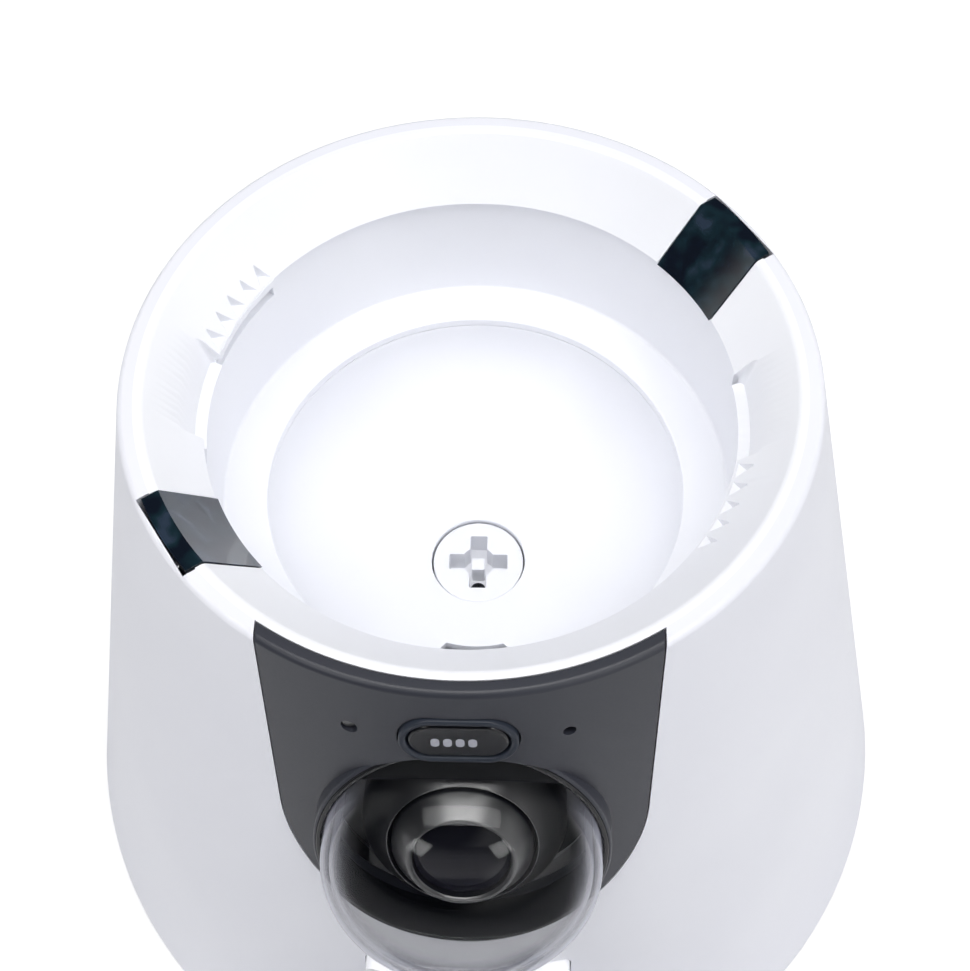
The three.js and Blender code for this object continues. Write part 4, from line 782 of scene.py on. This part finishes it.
def makeCamera():
    bezel = {"radius": 30.8, "bore": 29.7, "proud": 2, "depth": 8, "pocket": 5.2}
    bm = spun([(bezel["bore"], -bezel["depth"]), (bezel["radius"], -bezel["depth"]),
               (bezel["radius"], bezel["proud"], 0.35), (bezel["bore"], bezel["proud"], 0.35)], steps=160)
    bm = combined(moved(bm, domePlace), controlsPocket(bezel["pocket"]))
    finishPiece("cameraRing", bm, glossBlack, "housing", ["camera_bezel"])

    dome = {"radius": 29.5, "wall": 1.8, "skirt": 5, "height": 22, "backZ": -12.2, "steps": 40}

    def arc(radius, height):
        turns = [math.pi / 2 * i / dome["steps"] for i in range(dome["steps"] + 1)]
        points = [(radius * math.cos(t), dome["skirt"] + height * math.sin(t)) for t in turns[:-1]]
        return points + [(0, dome["skirt"] + height)]

    radius, wall, back = dome["radius"], dome["wall"], dome["backZ"]
    outer, inner = arc(radius, dome["height"]), arc(radius - wall, dome["height"] - wall)
    bm = spun(outer[::-1] + [(radius, back, 0.3), (radius - wall, back)] + inner, closed=False, steps=128)
    finishPiece("domeShell", bm, clearDome, "housing", ["camera_dome"], place=domePlace)

    # The round head that carries the lens, with a groove at the barrel's root
    head = {"radius": 22.3, "backZ": -15.5, "slope": 7.4, "front": 16, "groove": 3, "seat": -10, "plate": 29.2,
            "plateLow": -16.9, "plateHigh": -14.9}
    bm = spun([(0, head["backZ"]), (head["radius"], head["backZ"]), (head["radius"], -head["slope"], 2),
               (head["front"], 0, 0.4), (head["front"], -head["groove"]), (8, head["seat"]), (0, head["seat"])],
              closed=False, steps=128, segments=14)
    plate = rod(head["plate"], head["plateLow"], head["plateHigh"], steps=96)
    bm = combined(moved(bm, domePlace.inverted() @ lensPlace), plate, "UNION")
    finishPiece("shroudBlock", bm, satinBlack, "housing", ["camera_shroud"], place=domePlace,
                flatFaces=True)

    # A matt black sheet stands in for shadow: it covers the well above the head, where the head's upper part would
    # be in shade
    shadowSheet = {"radius": 27.4, "low": -3.6, "high": -1.2, "halfCut": 40, "cutFoot": -39.3, "sideY": 16.7,
            "middleY": 21.9}
    bm = rod(shadowSheet["radius"], shadowSheet["low"], shadowSheet["high"], steps=128)
    half, foot, side = shadowSheet["halfCut"], shadowSheet["cutFoot"], shadowSheet["sideY"]
    cut = prism([(-half, foot), (half, foot), (half, side), (0, shadowSheet["middleY"], 60), (-half, side)], -6, 3)
    bm = combined(bm, cut)
    softened(bm, 0.3)
    finishPiece("wellShadowSheet", bm, shadowBlack, "housing", [], place=domePlace)

    barrel = {"root": 15.2, "front": 11.5, "lip": 0.6, "length": 4.9, "bore": 10.5, "throat": 7, "seat": -8}
    root, front, bore, length = barrel["root"], barrel["front"], barrel["bore"], barrel["length"]
    bm = spun([
        (root, barrel["seat"]), (root, -0.2, 0.4), (front, length, 0.3), (front - barrel["lip"], length, 0.15),
        (bore + 0.2, length - 0.5), (bore, length - 0.7), (bore, -0.9), (barrel["throat"], -1.5),
        (barrel["throat"], barrel["seat"]),
    ], steps=128)
    finishPiece("barrelRing", bm, satinBlack, "housing", ["lens_barrel"], place=lensPlace)

    # The lens is a shallow crown, given as (radius, height) points
    crown = [(0, 4.6), (4, 4.4), (7.5, 3.8), (10.3, 2.9, 0.2)]
    bm = spun(crown + [(10.3, -0.8), (0, -0.8)], closed=False, steps=96)
    finishPiece("frontLens", bm, lensGlass, "housing", ["lens_glass"], place=lensPlace)


makeCamera()
print("camera ready")


# Outlet, tray and steel bowl

def makeChute():
    chute = {"topZ": 133, "backY": -21.4, "frontY": -48.5, "floorZ": 95, "roofZ": 100, "behindY": -91.6}
    lipY = -coneRadius(outlet["floorZ"]) - outlet["lip"]

    def side(wall):
        half = outlet["halfWidth"] + wall
        points = [
            (chute["backY"] + wall, chute["topZ"]), (chute["backY"] + wall, chute["floorZ"] - wall),
            (chute["behindY"], outlet["floorZ"] - wall), (lipY - overrun, outlet["floorZ"] - wall),
            (lipY - overrun, outlet["roofZ"] + wall), (chute["behindY"], outlet["roofZ"] + wall),
            (chute["frontY"] - wall, chute["roofZ"] + wall), (chute["frontY"] - wall, chute["topZ"]),
        ]
        turn = Matrix(((0, 0, 1, 0), (1, 0, 0, 0), (0, 1, 0, 0), (0, 0, 0, 1)))
        return moved(prism(points, -half, half), turn)

    behind = block(-90, 90, chute["behindY"], 0, 0, 184)
    allowed = combined(behind, outletPrism(0), "UNION")
    bm = combined(side(outlet["wall"]), allowed, "INTERSECT")
    bm = combined(bm, coneSolid(outlet["lip"]), "INTERSECT")
    bm = combined(bm, side(0))
    # The chute's upper end follows the underside of the metering bowl
    above = spun([(0, 140), (60, 140), (60, 133.7), (52, 133.7), (50.5, 125), (45, 114), (35, 104), (25, 99.3),
                  (12, 98.7), (0, 98.7)], closed=False, steps=96)
    bm = combined(bm, above)
    softened(bm, 0.4, segments=3)
    finishPiece("chuteShell", bm, whiteSeat, "housing", ["chute"], flatFaces=True)


def makeTray():
    tray = {"height": 36, "radius": 70, "mouth": 60.5, "rim": 6, "floor": 52.5, "wall": 2.5}
    place = Matrix.Translation((0, trayY, 0))
    bm = spun([
        (0, 0), (tray["radius"], 0, 1.9), (tray["radius"], tray["height"] - tray["wall"], 1.2),
        (tray["mouth"] + tray["rim"], tray["height"], 1.0), (tray["mouth"], tray["height"], 0.8),
        (tray["floor"], tray["wall"], 1.5), (0, tray["wall"]),
    ], closed=False, steps=160)
    bm = combined(moved(bm, place), coneSolid(0.3))
    tongue = block(-15, 15, trayY + 40, -coneRadius(10) + 12, 8, 12)
    hollow = spun([(0, tray["wall"]), (tray["floor"], tray["wall"]), (tray["mouth"], tray["height"]),
                   (0, tray["height"])], closed=False, steps=96)
    bm = combined(bm, combined(tongue, moved(hollow, place)), "UNION")
    softened(bm, 0.35)
    finishPiece("trayShell", bm, whiteShell, "tray", ["bowl_tray"], flatFaces=True)

    steel = {"topZ": 37.3, "depth": 31, "thick": 1, "mouth": 58.5, "floor": 50, "flange": 62.5}
    top, floor, thick = steel["topZ"], steel["topZ"] - steel["depth"], steel["thick"]
    bm = spun([
        (0, floor - thick), (steel["floor"] - thick, floor - thick, 4),
        (steel["mouth"] + thick, top - thick, 0.8),
        (steel["flange"], top - thick, 0.45), (steel["flange"], top, 0.45), (steel["mouth"], top, 1.4),
        (steel["floor"] - thick, floor, 5), (0, floor),
    ], closed=False, steps=160, segments=8)
    finishPiece("steelBowlShell", moved(bm, place), bowlSteel, "steel_bowl", ["steel_bowl"])


makeChute()
makeTray()
print("outlet, tray and bowl ready")


# Floor, light and camera

def makeFloor():
    look = {"color": (0.9, 0.9, 0.91, 1), "roughness": 0.9, "shown": 0.3}
    bm = bmesh.new()
    bmesh.ops.create_grid(bm, x_segments=1, y_segments=1, size=6)
    floor = workObject(bm, "floor")
    material, tree, shader = startMaterial("paleFloor")
    shader.inputs["Base Color"].default_value = look["color"]
    shader.inputs["Roughness"].default_value = look["roughness"]
    shader.inputs["Specular IOR Level"].default_value = 0.1
    shader.inputs["Emission Color"].default_value = (1, 1, 1, 1)
    path = tree.nodes.new("ShaderNodeLightPath")
    shown = mathNode(tree, "MULTIPLY", path.outputs["Is Camera Ray"], look["shown"])
    tree.links.new(shown, shader.inputs["Emission Strength"])
    floor.data.materials.append(material)


def makeWorld():
    level = {"diffuse": 0.08, "tint": (0.95, 0.97, 1.0, 1), "white": (1, 1, 1, 1),
             "unlitSide": (-0.55, -0.65, 0.52), "unlit": 0.03, "sideFrom": 0.5, "sideTo": 0.72,
             "ceilingFrom": 0.42, "ceilingTo": 0.62}
    world = bpy.data.worlds.new("studio")
    bpy.context.scene.world = world
    world.use_nodes = True
    tree = world.node_tree
    background = tree.nodes["Background"].inputs
    path = tree.nodes.new("ShaderNodeLightPath").outputs
    shown = mathNode(tree, "MAXIMUM", path["Is Camera Ray"], path["Is Transmission Ray"])
    # Mirrored rays see white too, but for the ceiling and the one side of the studio that are unlit
    coords = tree.nodes.new("ShaderNodeTexCoord").outputs["Generated"]
    towards = tree.nodes.new("ShaderNodeVectorMath")
    towards.operation = "DOT_PRODUCT"
    towards.inputs[1].default_value = level["unlitSide"]
    tree.links.new(coords, towards.inputs[0])
    side = rangeNode(tree, towards.outputs["Value"], level["sideFrom"], level["sideTo"], 1, level["unlit"],
                     smooth=True)
    height = tree.nodes.new("ShaderNodeSeparateXYZ")
    tree.links.new(coords, height.inputs[0])
    ceiling = rangeNode(tree, height.outputs["Z"], level["ceilingFrom"], level["ceilingTo"], 1, level["unlit"],
                        smooth=True)
    mirrored = mathNode(tree, "MULTIPLY", path["Is Glossy Ray"], mathNode(tree, "MINIMUM", side, ceiling))
    seen = mathNode(tree, "MAXIMUM", shown, mirrored)
    either = mathNode(tree, "MAXIMUM", shown, path["Is Glossy Ray"])
    tree.links.new(mixNode(tree, "FLOAT", either, level["diffuse"], seen), background["Strength"])
    tree.links.new(mixNode(tree, "RGBA", either, level["tint"], level["white"]), background["Color"])


def makeLamp(name, place, target, size, watts, mirrored=True):
    data = bpy.data.lights.new(name, "AREA")
    data.shape = "RECTANGLE"
    data.size, data.size_y = size
    data.energy = watts
    lamp = bpy.data.objects.new(name, data)
    lamp.location = place
    lamp.visible_glossy = mirrored
    lamp.rotation_euler = (Vector(target) - Vector(place)).to_track_quat("-Z", "Y").to_euler()
    bpy.context.scene.collection.objects.link(lamp)


def makeCameraView():
    view = {"place": (0.01303, -0.19007 + axisY, 0.4488), "down": 58.49, "roll": 1.89, "turn": 3.2,
            "focalPixels": 1523, "sensor": 36, "imageWidth": 970}
    down, roll = math.radians(view["down"]), math.radians(view["roll"])
    right, forward = Vector((1, 0, 0)), Vector((0, math.cos(down), -math.sin(down)))
    below = forward.cross(right)
    imageRight = math.cos(roll) * right + math.sin(roll) * below
    imageDown = -math.sin(roll) * right + math.cos(roll) * below
    turn = Matrix((imageRight, -imageDown, -forward)).transposed()
    turn = Matrix.Rotation(math.radians(view["turn"]), 3, "Z") @ turn
    data = bpy.data.cameras.new("photoView")
    data.sensor_fit = "HORIZONTAL"
    data.sensor_width = view["sensor"]
    data.lens = view["focalPixels"] * view["sensor"] / view["imageWidth"]
    data.clip_start = 0.01
    camera = bpy.data.objects.new("photoView", data)
    camera.matrix_world = Matrix.Translation(view["place"]) @ turn.to_4x4()
    bpy.context.scene.collection.objects.link(camera)
    bpy.context.scene.camera = camera


makeFloor()
makeWorld()
makeLamp("overheadSoftbox", (0.03, -0.12, 1.4), (0.03, -0.12, 0), (1.4, 0.5), 13)
body = (0, 0.06, 0.15)
makeLamp("frontLeftSoftbox", (-0.75, -0.85, 1.2), body, (0.4, 0.3), 3.3)
makeLamp("frontRightSoftbox", (0.75, -0.85, 1.2), body, (0.4, 0.3), 3.3)
makeLamp("rightPanel", (1.4, 0, 0.9), body, (1, 1), 7, mirrored=False)
makeLamp("leftPanel", (-1.4, 0, 0.9), body, (1, 1), 4, mirrored=False)
makeLamp("backPanel", (0, 1.2, 1.4), body, (1.2, 1.2), 2, mirrored=False)
makeCameraView()
bpy.context.scene.view_settings.view_transform = "Standard"
print("floor, light and camera ready")
